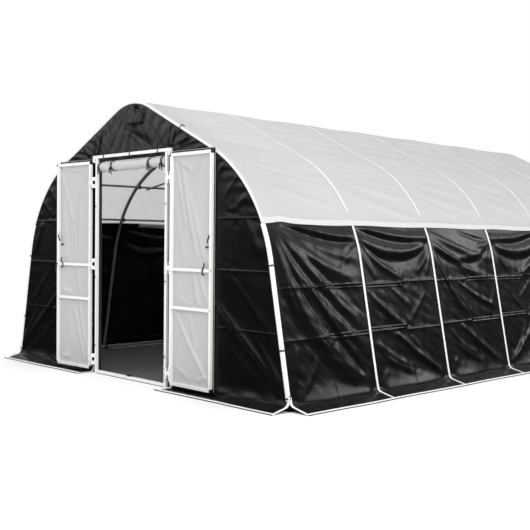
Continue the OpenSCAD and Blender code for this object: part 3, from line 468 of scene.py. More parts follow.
def laminated_cloth(name, dark, light, rough, glow=0.0, dents=1.0, shine=0.5):
    """Cloth from its UV in metres: cloudy colour, tape relief, dents, packing creases, light through it."""
    made, tree = start_material(name)
    uv = add(tree, "UVMap", uv_map="cloth")
    cloud = add(tree, "TexNoise", {"Vector": uv, "Scale": 1 / CLOUD, "Detail": 4.0, "Roughness": 0.6})
    tapes = [add(tree, "TexWave", {"Vector": uv, "Scale": BAND_SCALE / TAPE}, 1, bands_direction=way)
             for way in ("X", "Y")]
    relief = add(tree, "Math", {0: tapes[0], 1: tapes[1]}, operation="MULTIPLY")
    weave = add(tree, "Bump", {"Strength": 0.25, "Distance": 0.0004, "Height": relief})
    small = add(tree, "TexNoise", {"Vector": uv, "Scale": 1 / DENT, "Detail": 3.0, "Distortion": 0.6})
    dented = add(tree, "Bump", {"Strength": 0.5, "Distance": 0.0035 * dents, "Height": small,
                                "Normal": weave})
    across = add(tree, "SeparateXYZ", {0: add(tree, "UVMap", uv_map="packing")})
    level = across.node.outputs[1]
    to_upright = add(tree, "Math", {0: across}, operation="ABSOLUTE")
    to_upright = add(tree, "Math", {0: to_upright, 1: UPRIGHT_FAINT}, operation="ADD")
    to_level = add(tree, "Math", {0: level}, operation="ABSOLUTE")
    nearest = add(tree, "Math", {0: to_upright, 1: to_level}, operation="MINIMUM")
    to_pleat = add(tree, "Math", {0: level, 1: PLEAT}, operation="SUBTRACT")
    to_pleat = add(tree, "Math", {0: to_pleat}, operation="ABSOLUTE")
    no_pleat = add(tree, "Math", {0: across, 1: 0.0}, operation="LESS_THAN")
    to_pleat = add(tree, "Math", {0: to_pleat, 1: no_pleat}, operation="ADD")
    nearest = add(tree, "Math", {0: nearest, 1: to_pleat}, operation="MINIMUM")
    crest = add(tree, "MapRange", {0: nearest, 1: 0.0, 2: CREASE, 3: 1.0, 4: 0.0},
                interpolation_type="SMOOTHSTEP")
    creased = add(tree, "Bump", {"Strength": 1.0, "Distance": 0.0020, "Height": crest, "Normal": dented})
    gloss = add(tree, "MapRange", {0: cloud, 1: 0.3, 2: 0.7, 3: rough - 0.05, 4: rough + 0.08})
    colour = add(tree, "Mix", {0: cloud, 6: linear(dark), 7: linear(light)}, 2, data_type="RGBA")
    surface = add(tree, "BsdfPrincipled", {"Base Color": colour, "Roughness": gloss, "IOR": 1.51,
                                           "Specular IOR Level": shine, "Normal": creased})
    if glow:
        through = add(tree, "BsdfTranslucent", {"Color": linear(light), "Normal": creased})
        surface = add(tree, "MixShader", {0: glow, 1: surface, 2: through})
    add(tree, "OutputMaterial", {"Surface": surface})
    return made


black_cover = laminated_cloth("laminated polyethylene, black", "#060708", "#0e0f10", 0.25,
                              dents=0.32, shine=0.165)
roof_white = laminated_cloth("laminated polyethylene, white translucent", "#f6f6f5", "#fbfbfa", 0.45,
                             glow=0.67, dents=0.25)
hem_white = laminated_cloth("laminated polyethylene, doubled white hem", "#c3c3c3", "#cdcdcc", 0.5, dents=0.3)
door_pale = laminated_cloth("laminated polyethylene, pale door cloth", "#c0c0bf", "#cbcbca", 0.5,
                            glow=0.10, dents=0.35)
curtain_white = laminated_cloth("laminated polyethylene, white curtain", "#cacac9", "#d8d8d7", 0.5,
                                glow=0.15, dents=0.6)
print("laminated cloths: black, roof, hem, door and curtain")

# %% [markdown]
# The white lines on the walls and the covers' edges are polyester webbing: a narrow weave with ribs across
# it and a matt, slightly hairy surface. The painted highlight strips over the roof's hoops take the same
# white. The ribs are about 1.5 mm apart on the real one and are drawn at 4 mm here. The black straps and
# ties are polypropylene webbing, shinier and with the same ribs.

# %% Webbing
RIB = 0.004
DIRT = 0.08


def webbing(name, dark, light, rough):
    """Webbing from its UV in metres: ribs across its length, cloudy colour, a little sheen."""
    made, tree = start_material(name)
    uv = add(tree, "UVMap", uv_map="cloth")
    ribs = add(tree, "TexWave", {"Vector": uv, "Scale": BAND_SCALE / RIB}, 1, bands_direction="X")
    dirt = add(tree, "TexNoise", {"Vector": uv, "Scale": 1 / DIRT, "Detail": 5.0})
    relief = add(tree, "Bump", {"Strength": 0.5, "Distance": 0.0006, "Height": ribs})
    colour = add(tree, "Mix", {0: dirt, 6: linear(dark), 7: linear(light)}, 2, data_type="RGBA")
    surface = add(tree, "BsdfPrincipled", {"Base Color": colour, "Roughness": rough, "Sheen Weight": 0.15,
                                           "Normal": relief})
    add(tree, "OutputMaterial", {"Surface": surface})
    return made


white_webbing = webbing("polyester webbing, white", "#e0e0de", "#eeeeec", 0.75)
grey_binding = webbing("polyester binding, grey", "#8b8c8c", "#a5a6a6", 0.7)
black_strap = webbing("polypropylene strap, black", "#08080a", "#141416", 0.55)
print("webbings: white, grey and black")

# %% [markdown]
# The frame tube is hot-dip galvanised: bright zinc that freezes in flat crystals, the spangle, 6 to 12 mm
# across, and then dulls in patches. The gable posts are the same tube drawn much darker, as painted shade
# of the dim doorway they stand in. The door tubes are steel with a white powder coat, which flows into a
# faint orange peel and gets grey scuffs. Bolts are zinc plated, clamps and plugs are moulded nylon, and
# pads are black rubber.

# %% Steel, nylon and rubber
DULL_PATCH = 0.12
GRAIN = 0.003


def coated_metal(name, dark, light, cell, rough, metallic, relief, patches):
    """Hard finish from Object coordinates: cells in two colours, a fine relief and dull patches."""
    made, tree = start_material(name)
    place = add(tree, "TexCoord", out="Object")
    cells = add(tree, "TexVoronoi", {"Vector": place, "Scale": 1 / cell}, "Color")
    share = add(tree, "SeparateColor", {0: cells})
    dull = add(tree, "TexNoise", {"Vector": place, "Scale": 1 / DULL_PATCH, "Detail": 5.0, "Roughness": 0.65})
    tone = add(tree, "Math", {0: share, 1: dull}, operation="MULTIPLY")
    gloss = add(tree, "MapRange", {0: dull, 1: 0.35, 2: 0.7, 3: rough, 4: rough + patches})
    grain = add(tree, "TexNoise", {"Vector": place, "Scale": 1 / GRAIN, "Detail": 2.0})
    skin = add(tree, "Bump", {"Strength": 0.3, "Distance": relief, "Height": grain})
    colour = add(tree, "Mix", {0: tone, 6: linear(dark), 7: linear(light)}, 2, data_type="RGBA")
    surface = add(tree, "BsdfPrincipled", {"Base Color": colour, "Roughness": gloss, "Metallic": metallic,
                                           "Normal": skin})
    add(tree, "OutputMaterial", {"Surface": surface})
    return made


galvanised = coated_metal("hot-dip galvanised steel", "#5f6366", "#a4a8aa", 0.010, 0.42, 0.55, 0.0001, 0.22)
# The gable posts' zinc: the same zinc drawn darker, painted shade of the dim doorway
painted_shade_zinc = coated_metal("hot-dip galvanised steel, darkened as painted shade", "#2c2f31", "#4c5052",
                         0.010, 0.55, 0.6, 0.0001, 0.22)
white_coat = coated_metal("powder-coated steel, white", "#f2f2f0", "#e4e4e2", 0.004, 0.34, 0.0, 0.00012, 0.2)
zinc_plate = coated_metal("zinc-plated steel", "#8d908c", "#c6c8c2", 0.004, 0.28, 1.0, 0.00005, 0.15)
black_nylon = coated_metal("moulded nylon, black", "#0c0c0d", "#1d1e1f", 0.006, 0.45, 0.0, 0.0001, 0.15)
black_rubber = coated_metal("rubber, black", "#0d0d0d", "#1b1b1b", 0.008, 0.75, 0.0, 0.0002, 0.1)
print("hard finishes: two zincs, a white coat, zinc plate, nylon and rubber")

# %% Finishes of the CAD nodes that stay
FINISHES = {
    galvanised: [f"hoop_{number}" for number in range(1, BAYS + 2)] + [
        "ridge_purlin", "shoulder_purlin_left", "shoulder_purlin_right",
        "eave_purlin_left", "eave_purlin_right", "base_rail_left", "base_rail_right",
        "foot_plates", "wind_braces", "gable_base_rails", "curtain_core"],
    painted_shade_zinc: ["gable_posts"],
    black_nylon: ["purlin_clamps", "base_rail_clamps", "gable_post_heads"],
    white_coat: ["door_jamb_left", "door_jamb_right", "door_header", "door_sill", "hinge_brackets",
                 "left_leaf_stiles", "left_leaf_rails", "left_leaf_hinges",
                 "right_leaf_stiles", "right_leaf_rails", "right_leaf_hinges"],
    zinc_plate: ["frame_bolts", "hinge_pins"],
    black_rubber: ["sill_rubbers"],
}
for finish, names in FINISHES.items():
    for name in names:
        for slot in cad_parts[name].material_slots:
            slot.material = finish
print("finished nodes:", sum(len(names) for names in FINISHES.values()))

# %% [markdown]
# ## Roof cover
#
# One sheet goes from eave to eave over all seven hoops. It is pulled tight, so it sinks only a few
# millimetres between the hoops, and low pulled folds run slantwise down every bay. Over each inner hoop a
# thin white strip stops short of the eave: a painted highlight, the bright line that the taut sheet's
# ridge over the hoop catches. The lower edge is a doubled hem that wavers a little, and lifts near the
# corners.

# %% Roof sheet
ROOF_SAG = 0.006
SLANT_FOLDS = 12
SLANT_HEIGHT = 0.0150


def bay_place(y):
    """Number of the bay at a place along the shelter, and the share of the way across it."""
    place = np.clip((y + HALF_LENGTH) / BAY, 0, BAYS)
    bay = np.minimum(place.astype(int), BAYS - 1)
    return bay, np.clip(place - bay, 0, 1)


def hem_lift(y):
    """How far the eave hem wavers up along the shelter: a slow wave, and a lift near each end hoop."""
    _, u = bay_place(y)
    wave = 0.003 * np.sin(2 * math.pi * u) - 0.004 * np.sin(math.pi * u)
    near_end = HALF_LENGTH - np.abs(y)
    return wave + 0.016 * ridge(near_end - 0.17, 0.10)


def slant_fold(number, bay, a, b):
    """One of a bay's slant folds, from the ridge down: a pull whose height varies with bay and number."""
    height = (0.6 + 0.4 * np.sin(2.3 * bay + 1.7 * number)) * (0.7 + 0.17 * number)
    shifted = b - 0.06 * np.sin(1.9 * bay + number)
    return height * pull(a, shifted, 0.0, 0.26 + 0.125 * number, BAY, 0.36 + 0.145 * number, 0.030, 0.05)


roof_y = samples(-COVER_Y, COVER_Y, 0.042, dense=HOOP_YS, reach=0.02, fine=0.01)
roof_share = np.linspace(0, 1, 241)[:, None]
lift = hem_lift(roof_y)
roof_run = EAVE_RUN + lift + roof_share * 2 * (ARCH_HALF - EAVE_RUN - lift)
roof_bay, roof_u = bay_place(roof_y)
roof_a, from_ridge = roof_u * BAY, np.abs(roof_run - ARCH_HALF)
belly = np.sin(math.pi * roof_u) ** 2
slanted = sum(slant_fold(number, roof_bay, roof_a, from_ridge) for number in range(SLANT_FOLDS))
roof_offset = (ROOF_OUT - ROOF_SAG * belly + SLANT_HEIGHT * slanted * np.sqrt(belly)
               + 0.0012 * belly * crinkle(roof_a, from_ridge, 0.5, seed=3))
roof_points = on_arch(roof_run, roof_y, roof_offset)
roof = piece("roof_cover_sheet", [(roof_points, spread(roof_y, roof_run))], roof_white,
             "frame", ["roof_cover"], CLOTH_THICK)

# %% Painted highlights over the hoops
HOOP_HIGHLIGHT_WIDTH = 0.017
HOOP_HIGHLIGHT_THICK = 0.0012
HOOP_HIGHLIGHT_LIFT = 0.0014
HOOP_HIGHLIGHT_STOP = 0.120
ACROSS, ALONG, UP = np.eye(3)


def upright_path(flat, facing, y, side=1):
    """A path in the plane of one hoop, and its outward directions, from drawings in X and Z."""
    path = spread(flat[:, 0] * side, y, flat[:, 1])
    return path, spread(facing[:, 0] * side, 0.0, facing[:, 1])


# White strips over the inner hoops, in the webbing's white: a painted highlight along the sheet's ridge
highlight_run = np.linspace(EAVE_RUN + HOOP_HIGHLIGHT_STOP, 2 * ARCH_HALF - EAVE_RUN - HOOP_HIGHLIGHT_STOP, 90)
highlight_drawing = arch(highlight_run, ROOF_OUT + HOOP_HIGHLIGHT_LIFT)
highlight_patches = []
for y in HOOP_YS[1:-1]:
    path, out = upright_path(*highlight_drawing, y)
    highlight_patches.append(swept(path, ALONG, out, strap_profile(HOOP_HIGHLIGHT_WIDTH, HOOP_HIGHLIGHT_THICK, 12)))
tapes = piece("roof_hoop_painted_highlights", highlight_patches, white_webbing, "frame")

# %% Eave hems
EAVE_BAND = 0.050
HEM_THICK = 0.0030
HEM_BEAD = 0.0028
HEM_BEAD_AT = 0.004
HEM_BEAD_WIDE = 0.006
HEM_DROP = 0.002
HEM_LEVEL = ROOF_OUT + 0.0004
HEM_WAVER = 0.0015


def hem_profile():
    """The hem's section as (up along the roof, out): a flat doubled strip with a bead in its lower edge."""
    flat = strap_profile(EAVE_BAND, HEM_THICK, 20) + (EAVE_BAND / 2, HEM_THICK / 2)
    flat[:, 1] += HEM_BEAD * ridge(flat[:, 0] - HEM_BEAD_AT, HEM_BEAD_WIDE) * (flat[:, 1] > HEM_THICK / 2)
    return flat


def eave_hem(side):
    """The hem's section carried along the eave; side is 1 on the right and -1 on the left."""
    section = hem_profile()
    section = np.concatenate([section, section[:1]])
    y = samples(-COVER_Y, COVER_Y, 0.03)
    run = EAVE_RUN - HEM_DROP + hem_lift(y)[:, None] + section[:, 0]
    waver = HEM_WAVER * np.sin(9 * y)[:, None] * (EAVE_BAND - section[:, 0]) / EAVE_BAND
    grid = on_arch(run, y[:, None], HEM_LEVEL + section[:, 1] + waver) * (side, 1, 1)
    middle = grid[:, :-1].mean(1, keepdims=True) + 0 * grid
    grid = np.concatenate([middle[:1], grid, middle[-1:]])
    along = np.concatenate([y[:1], y, y[-1:]])
    return grid, spread(along[:, None], section[:, 0])


hems = piece("eave_hems", [eave_hem(1), eave_hem(-1)], hem_white, "frame", ["eave_bands"])

# %% [markdown]
# ## Side walls
#
# The black walls hang from the eave and are tied to each hoop under its white webbing. Between the ties the
# cloth is a little too long, so it hangs in swags below the eave, fans out from the tied points, and is
# pulled straight towards the hoops' feet. At the foot it leans out over the skirt. It was packed folded, so
# two level creases and an upright one in each bay stay in it. The front bay is different: most of its folds
# fan out from the top of the corner.

# %% Places of a bay's folds
# Pulled folds: start and end in shares of a bay across and metres below the eave, width, height in mm, bow
FRONT_PULLS = [
    (0.0, 0.05, 1.0, 1.39, 0.074, 24, 0.15), (0.0, 0.04, 0.99, 1.06, 0.074, 23, 0.085),
    (0.03, 0.02, 0.98, 0.88, 0.06, 19, 0.03), (0.06, 0.01, 0.98, 0.47, 0.08, 18, 0.07),
    (0.0, 0.1, 0.4, 0.98, 0.04, 10, 0.08), (0.2, 0.01, 0.96, 0.28, 0.03, 4, 0.06),
    (0.02, 0.14, 0.76, 1.32, 0.05, 13, 0.11), (0.3, 0.4, 1.0, 1.22, 0.034, 8, 0.06),
    (0.02, 1.38, 0.14, 0.95, 0.024, 8), (0.05, 1.38, 0.34, 1.06, 0.03, 9, 0.02),
    (0.99, 0.13, 0.8, 0.2, 0.016, 6), (0.6, 0.5, 1.0, 0.8, 0.02, 6, 0.01),
    (0.62, 0.9, 1.0, 1.38, 0.024, 7, -0.02), (0.99, 0.16, 0.7, 0.4, 0.02, 4),
    (0.02, 0.06, 0.22, 0.82, 0.028, 7, 0.03), (0.06, 0.04, 0.56, 0.9, 0.026, 6, 0.05),
    (0.12, 0.03, 0.84, 0.66, 0.026, 5, 0.05),
]
SAGGING_PULLS = [
    (0.02, 0.15, 0.54, 0.47, 0.04, 16, 0.03), (0.01, 0.16, 0.18, 0.46, 0.024, 9, 0.02),
    (0.99, 0.14, 0.74, 0.42, 0.028, 11, -0.02), (0.99, 0.17, 0.88, 0.44, 0.02, 7, -0.01),
    (0.02, 0.54, 0.5, 0.88, 0.036, 9, 0.02), (0.1, 0.57, 0.34, 0.8, 0.026, 6, 0.01),
    (0.82, 0.6, 0.53, 0.87, 0.03, 6), (0.34, 0.92, 1.0, 1.38, 0.044, 16, 0.01),
    (0.08, 0.98, 0.54, 1.24, 0.04, 10, 0.03), (0.18, 1.12, 0.62, 1.3, 0.03, 7, 0.02),
    (0.0, 1.38, 0.17, 1.22, 0.026, 7), (0.3, 0.5, 0.62, 0.72, 0.028, 6),
    (0.55, 0.95, 1.0, 1.38, 0.03, 8, 0.04), (0.02, 0.95, 0.3, 1.2, 0.03, 6, 0.02),
]
FANNED_PULLS = [
    (0.01, 0.03, 0.98, 0.31, 0.048, 10, 0.03), (0.01, 0.11, 0.86, 0.47, 0.046, 13, 0.05),
    (0.01, 0.14, 0.52, 0.87, 0.042, 15, 0.07), (0.0, 0.17, 0.22, 0.7, 0.028, 8, 0.03),
    (0.48, 0.02, 0.98, 0.12, 0.02, -8, 0.015), (0.99, 0.14, 0.74, 0.19, 0.02, 9),
    (0.99, 0.16, 0.86, 0.3, 0.018, 8), (0.34, 0.5, 0.92, 0.76, 0.026, 10, 0.02),
    (0.3, 0.9, 1.0, 1.38, 0.044, 16, 0.01), (0.14, 0.94, 0.5, 1.19, 0.036, 9, 0.04),
    (0.16, 1.06, 0.66, 1.29, 0.034, 8, 0.03), (0.0, 1.38, 0.2, 1.18, 0.026, 7),
    (0.24, 0.45, 0.6, 0.86, 0.03, 8, 0.03), (0.99, 0.55, 0.8, 0.85, 0.028, 5),
]
# Swags: drop at the first hoop, drop at the second, dip, width, height in mm
FRONT_SWAGS = [(-0.090, 0.125, 0.060, 0.030, 12)]
SAGGING_SWAGS = [(0.000, 0.112, 0.053, 0.032, 12), (0.131, 0.140, 0.135, 0.044, 12)]
FANNED_SWAGS = [(0.170, 0.150, 0.160, 0.030, 6)]
# The bays from the front to the rear: pulls, swags, and whether the bay is the other way round
BAY_FOLDS = [
    (FRONT_PULLS, FRONT_SWAGS, False),
    (SAGGING_PULLS, SAGGING_SWAGS, False),
    (FANNED_PULLS, FANNED_SWAGS, False),
    (SAGGING_PULLS, SAGGING_SWAGS, True),
    (FANNED_PULLS, FANNED_SWAGS, False),
    (FRONT_PULLS, FRONT_SWAGS, True),
]
print("folds in the bays:", [len(pulls) + len(swags) for pulls, swags, _ in BAY_FOLDS])

# %% Folds of a wall
FLARE = 0.030
FLARE_FOOT = 0.050
WALL_FLARE_TOP = 0.230
UPPER_CREASE = EAVE_RUN - 0.925
LOWER_CREASE = EAVE_RUN - 0.520


def flared(height, top):
    """How far a wall leans out over its skirt at a height: the square of the share of the way down."""
    return FLARE * np.clip((top - height) / (top - FLARE_FOOT), 0, 1) ** 2


def crease_climb(y, u):
    """How far up the packing creases lie: they climb slowly to the rear, and jump a little at mid-bay."""
    jump = 0.005 * np.tanh((u - 0.5) * BAY / 0.012)
    return 0.010 * (y + 1.5) / 1.5 + jump, 0.012 * (y + 1.5) / 1.5 - 1.6 * jump


def wall_fold(y, drop, level):
    """How far the wall stands out at a place along it and a drop below the eave.

    level is the drop before the creases were shifted up or down, so the creases lie at the same level all
    along. The main folds, a slow sag, the creases and the unevenness add up, and die out at the edges and
    the hoops. The flare at the foot is added to that.
    """
    y, drop, level = np.broadcast_arrays(y, drop, level)
    bay, u = bay_place(y)
    folds = np.zeros_like(drop)
    for number, (pulls, swags, turned_round) in enumerate(BAY_FOLDS):
        here = bay == number
        a, b = (1 - u[here] if turned_round else u[here]) * BAY, drop[here]
        folds[here] = all_pulls(a, b, pulls, BAY) + sum(
            0.001 * height * swag(a, b, BAY, *shape) for *shape, height in swags)
    middle, low = (u - 0.5) * BAY, np.clip(drop / EAVE_RUN, 0, 1)
    to_crease = np.minimum(np.abs(level - UPPER_CREASE), np.abs(level - LOWER_CREASE))
    creases = (0.0022 * ridge(to_crease, 0.020)
               + 0.0008 * ridge(middle, 0.014) * np.clip((drop - 0.40) / 0.2, 0, 1))
    crumpled = (0.0020 * ridge(np.hypot(to_crease, middle), 0.08) * crinkle(y, drop, 0.055, 6)
                + 0.0006 * ridge(to_crease - 0.03, 0.03) * crinkle(y, drop, 0.09, 7))
    rough = (0.0007 + 0.0010 * low) * crinkle(y, drop, 0.12, 5) + 0.0005 * low * crinkle(y, drop, 0.055, 8)
    sag = -0.006 * np.sin(math.pi * u) * np.sin(math.pi * np.sqrt(low))
    held = 1 - np.abs(2 * u - 1) ** 9
    edges = np.clip(drop / 0.04, 0, 1) * np.clip((EAVE_RUN - 0.080 - drop) / 0.10, 0, 1)
    from_hoop = BAY * np.minimum(u, 1 - u)
    flare = (flared(EAVE_RUN - drop, WALL_FLARE_TOP) * smooth((from_hoop - 0.02) / 0.14)
             * (0.85 + 0.22 * crinkle(y, 0 * y, 0.45, 9)))
    return held * edges * (folds + sag + rough + crumpled + creases) + flare

# %% Wall sheets
WALL_TUCK = 0.040
WALL_FOOT = 0.0015
WALL_STEP = 0.0150
UPRIGHT_TOP = 0.35
CLIMB_REACH = 0.15
LEVEL_CREASES = [UPPER_CREASE, LOWER_CREASE]
wall_y = samples(-COVER_Y, COVER_Y, WALL_STEP, dense=MID_BAY_YS, reach=0.018)
wall_level = samples(-WALL_TUCK, EAVE_RUN - WALL_FOOT, WALL_STEP, dense=LEVEL_CREASES, reach=0.030)[:, None]
upper_climb, lower_climb = crease_climb(wall_y, bay_place(wall_y)[1])
wall_drop = (wall_level - upper_climb * ridge(wall_level - UPPER_CREASE, CLIMB_REACH)
             - lower_climb * ridge(wall_level - LOWER_CREASE, CLIMB_REACH))
wall_out = wall_fold(wall_y, wall_drop, wall_level)
wall_points = on_arch(EAVE_RUN - wall_drop, wall_y, WALL_OUT + wall_out)
wall_uv = spread(wall_y, -wall_level)
wall_packing = spread(np.where(wall_level > UPRIGHT_TOP, zigzag(wall_y, MID_BAY_YS), 1.0),
                      zigzag(wall_level, LEVEL_CREASES))
for side, name in ((1, "side_wall_right"), (-1, "side_wall_left")):
    grid = wall_points[:, ::side] * (side, 1, 1)
    wall = piece(name + "_sheet", [(grid, wall_uv[:, ::side], wall_packing[:, ::side])], black_cover,
                 "frame", [name], CLOTH_THICK)
print(f"wall folds from {wall_out.min() * 1000:.0f} to {wall_out.max() * 1000:.0f} mm")

# %% [markdown]
# ## Gable panels
#
# The front panel fills the end hoop and leaves the doorway open. Its grid runs round the doorway: one
# direction goes along the arch from foot to foot, the other from the arch in to the doorway's edge. The
# rear panel has no doorway, so its columns simply stand from the ground up to the arch. Both carry the
# packing creases, puckers along the edge where they are sewn on, a fan below the ridge, and pulls to the
# feet, and lean out over their skirts.

# %% Folds of a gable
GABLE_EDGE = 0.0150
GABLE_LEVEL = 0.0182
GABLE_CREASES = (0.56, 1.02, 1.43)
GABLE_UPRIGHTS = (-1.34, 1.34)
GABLE_FLARE_TOP = 0.145
FLARE_FROM = 1.12
PEAK_STAR = (-0.06, 2.25)

# Pulled folds: start and end in metres across and up, width, height in mm; the first list is on both sides
SIDE_PULLS = [
    (1.12, 0.8, 2.02, 0.05, 0.036, 15), (1.34, 0.98, 1.93, 0.4, 0.034, 4),
    (1.34, 0.96, 1.8, 0.56, 0.026, 3), (1.2, 0.5, 1.8, 0.06, 0.04, 6), (1.62, 0.52, 2.0, 0.08, 0.028, 12),
    (1.52, 1.42, 1.68, 1.1, 0.05, 13), (1.78, 1.02, 1.86, 0.76, 0.03, 13),
    (1.5, 1.86, 1.24, 1.6, 0.026, 4), (1.36, 2.0, 1.1, 1.72, 0.026, 4), (1.62, 1.7, 1.36, 1.5, 0.024, 4),
]
PEAK_PULLS = [
    (0.18, 2.45, 0.135, 2.28, 0.032, 9), (0.15, 2.29, -0.06, 2.3, 0.03, 7),
    (0.02, 2.47, 0.075, 2.37, 0.034, -10), (-0.46, 2.31, -0.543, 2.03, 0.018, 9),
    (-0.58, 2.23, -0.6, 2.03, 0.017, 8), (-0.8, 2.14, -0.66, 2.03, 0.024, 7),
    (0.63, 2.22, 0.562, 2.05, 0.018, 7), (0.545, 2.26, 0.525, 2.05, 0.015, 6),
    (0.88, 2.13, 0.66, 2.07, 0.03, 8), (0.26, 2.38, 0.376, 2.07, 0.024, 3),
    (0.345, 2.26, 0.455, 2.06, 0.02, 3), (-0.02, 2.21, 0.31, 2.04, 0.046, -8),
    (-0.03, 2.17, 0.14, 2.05, 0.024, -5), (-0.35, 2.36, -0.3, 2.1, 0.032, 3),
]


def gable_fold(x, z, edge, run):
    """How far a gable stands out at a place on it.

    edge is the distance in from the arch, and run the place along it. Creases, pulls, the fan at the peak,
    unevenness and puckers add up, and die out at the edge. The flare at the foot is added to that.
    """
    side = np.abs(x)
    to_crease, to_upright = np.abs(zigzag(z, GABLE_CREASES)), np.abs(zigzag(x, GABLE_UPRIGHTS))
    creases = 0.0012 * ridge(to_crease, 0.018) + 0.0016 * ridge(to_upright, 0.014)
    stars = (ridge(np.hypot(to_crease, to_upright), 0.09)
             + 0.4 * ridge(np.hypot(x - PEAK_STAR[0], z - PEAK_STAR[1]), 0.09))
    pulls = all_pulls(side, z, SIDE_PULLS) + all_pulls(x, z, PEAK_PULLS)
    peak = 0.0016 * fan(x, z, (0.0, RIDGE_HEIGHT + 0.02), math.radians(-90), math.radians(66), 7.5, 0.26)
    puckers = 0.0040 * np.sin(2 * math.pi * run / 0.13 + 2 * np.sin(3.1 * run)) * np.exp(-edge / 0.09)
    puckers = puckers * np.clip((z - 0.6) / 0.5, 0, 1)
    rough = 0.0005 * crinkle(x, z, 0.16, 11) + 0.0026 * stars * crinkle(x, z, 0.06, 12)
    held = np.clip((edge - 0.022) / 0.04, 0, 1)
    flare = (0.8 * flared(z, GABLE_FLARE_TOP) * smooth((side - FLARE_FROM) / 0.10)
             * (0.9 + 0.2 * crinkle(x, 0 * x, 0.3, 13)))
    return held * (creases + pulls + peak + rough + puckers) + flare * smooth((edge - 0.03) / 0.14)


def panel_piece(name, x, z, out, front):
    """A gable sheet from its drawing in X and Z and how far it stands out of the end hoop's plane."""
    y = (HALF_LENGTH + GABLE_LEVEL + out) * (-1 if front else 1)
    packing = spread(-np.abs(zigzag(x, GABLE_UPRIGHTS)), zigzag(z, GABLE_CREASES))
    made = piece(name + "_sheet", [(spread(x, y, z), spread(x, z), packing)], black_cover,
                 "frame", [name], CLOTH_THICK)

# %% Front gable panel
GABLE_FOOT = 0.003
DOORWAY_HALF = 0.513
DOORWAY_TOP = 1.985
DOOR_CORNER_HEIGHT = 2.05


half_runs = np.linspace(0, ARCH_HALF, 800)
corner_run = float(np.interp(DOOR_CORNER_HEIGHT, arch(half_runs, GABLE_EDGE)[0][:, 1], half_runs))
rim_run = samples(0.0, 2 * ARCH_HALF, 0.014)
rim, _ = arch(rim_run, GABLE_EDGE)
rim[:, 1] = np.maximum(rim[:, 1], GABLE_FOOT)
inner_x = np.interp(rim_run, [corner_run, 2 * ARCH_HALF - corner_run], [DOORWAY_HALF, -DOORWAY_HALF])
below_corner = rim_run <= corner_run
rise = np.interp(np.minimum(rim_run, 2 * ARCH_HALF - rim_run), rim_run[below_corner], rim[below_corner, 1])
risen = np.clip((rise - GABLE_FOOT) / (rise.max() - GABLE_FOOT), 0, 1)
inner_z = GABLE_FOOT + (DOORWAY_TOP - GABLE_FOOT) * risen
inward = np.linspace(0, 1, 72)[:, None]
gable_x = rim[:, 0] + inward * (inner_x - rim[:, 0])
gable_z = rim[:, 1] + inward * (inner_z - rim[:, 1])
gable_edge = inward * np.hypot(inner_x - rim[:, 0], inner_z - rim[:, 1])
gable_out = np.clip((1 - inward) / 0.06, 0, 1) * gable_fold(gable_x, gable_z, gable_edge, rim_run)
panel_piece("front_gable_panel", gable_x, gable_z, gable_out, True)

# %% Rear gable panel
rear_x = np.linspace(rim[:, 0].min(), rim[:, 0].max(), 230)[-2:0:-1]
top_run = np.interp(rear_x, rim[::-1, 0], rim_run[::-1])
rear_top = np.interp(rear_x, rim[::-1, 0], rim[::-1, 1])
rear_up = np.linspace(0, 1, 110)[:, None]
rear_z = GABLE_FOOT + rear_up * (rear_top - GABLE_FOOT)
rear_edge = np.minimum((1 - rear_up) * (rear_top - GABLE_FOOT), rim[:, 0].max() - np.abs(rear_x))
rear_out = gable_fold(rear_x, rear_z, rear_edge, top_run)
panel_piece("rear_gable_panel", rear_x, rear_z, rear_out, False)

# %% [markdown]
# ## Skirts
#
# Along the ground each wall ends in a skirt: a strip sewn to the wall that turns out over the ground, to be
# weighed down. Its section is a short lap down the wall, a tight bend and a slope down to the hem, written
# like the arch as three moves that stop where their stretch ends. Under the open leaves it lies flat, to
# leave them room. Between the hoops it puffs up a little.

# %% Section of a skirt
SKIRT_LAP = 0.040
SKIRT_BEND = 0.050
SKIRT_SLOPE = math.radians(13)
SKIRT_WIDTH = 0.170
SKIRT_LIFT = 0.0016
SKIRT_OUT = 0.0186
SIDE_PLANE = LEG_PLANE + SKIRT_OUT
END_PLANE = HALF_LENGTH + SKIRT_OUT


def skirt_run(lean, bend, slope):
    """Length of a skirt's straight part, from the end of its bend down the slope to its hem on the ground."""
    bend_reach = (1 - np.cos(slope) * math.sin(lean)) / math.cos(lean) - np.sin(slope)
    return (SKIRT_WIDTH - bend * bend_reach) / (np.cos(slope) - np.sin(slope) * math.tan(lean))


def skirt_section(share, lean, plane, lifted, bend=SKIRT_BEND, slope=SKIRT_SLOPE):
    """Point (out, up) of a skirt at a share of the way from top edge to hem, and the way off the cloth.

    plane is the wall's distance from the middle, measured square to the wall. The point is the top edge,
    plus the lap down the wall, plus the turn round the bend, plus the way down the slope, plus lifted times
    the direction.
    """
    share, lifted, bend, slope = np.broadcast_arrays(share, lifted, bend, slope)
    run, full_turn = skirt_run(lean, bend, slope), math.pi / 2 - slope - lean
    s = share * (SKIRT_LAP + bend * full_turn + run)
    facing = unit(lean + np.clip((s - SKIRT_LAP) / bend, 0, full_turn))
    centre_up = bend * np.cos(slope) + run * np.sin(slope)
    centre = spread((plane + bend - centre_up * math.sin(lean)) / math.cos(lean), centre_up)
    point = (centre - (bend - SKIRT_LIFT)[..., None] * facing
             + np.clip(SKIRT_LAP - s, 0, None)[..., None] * unit(lean + math.pi / 2)
             + np.clip(s - SKIRT_LAP - bend * full_turn, 0, None)[..., None] * unit(-slope)
             + lifted[..., None] * facing)
    return point, facing


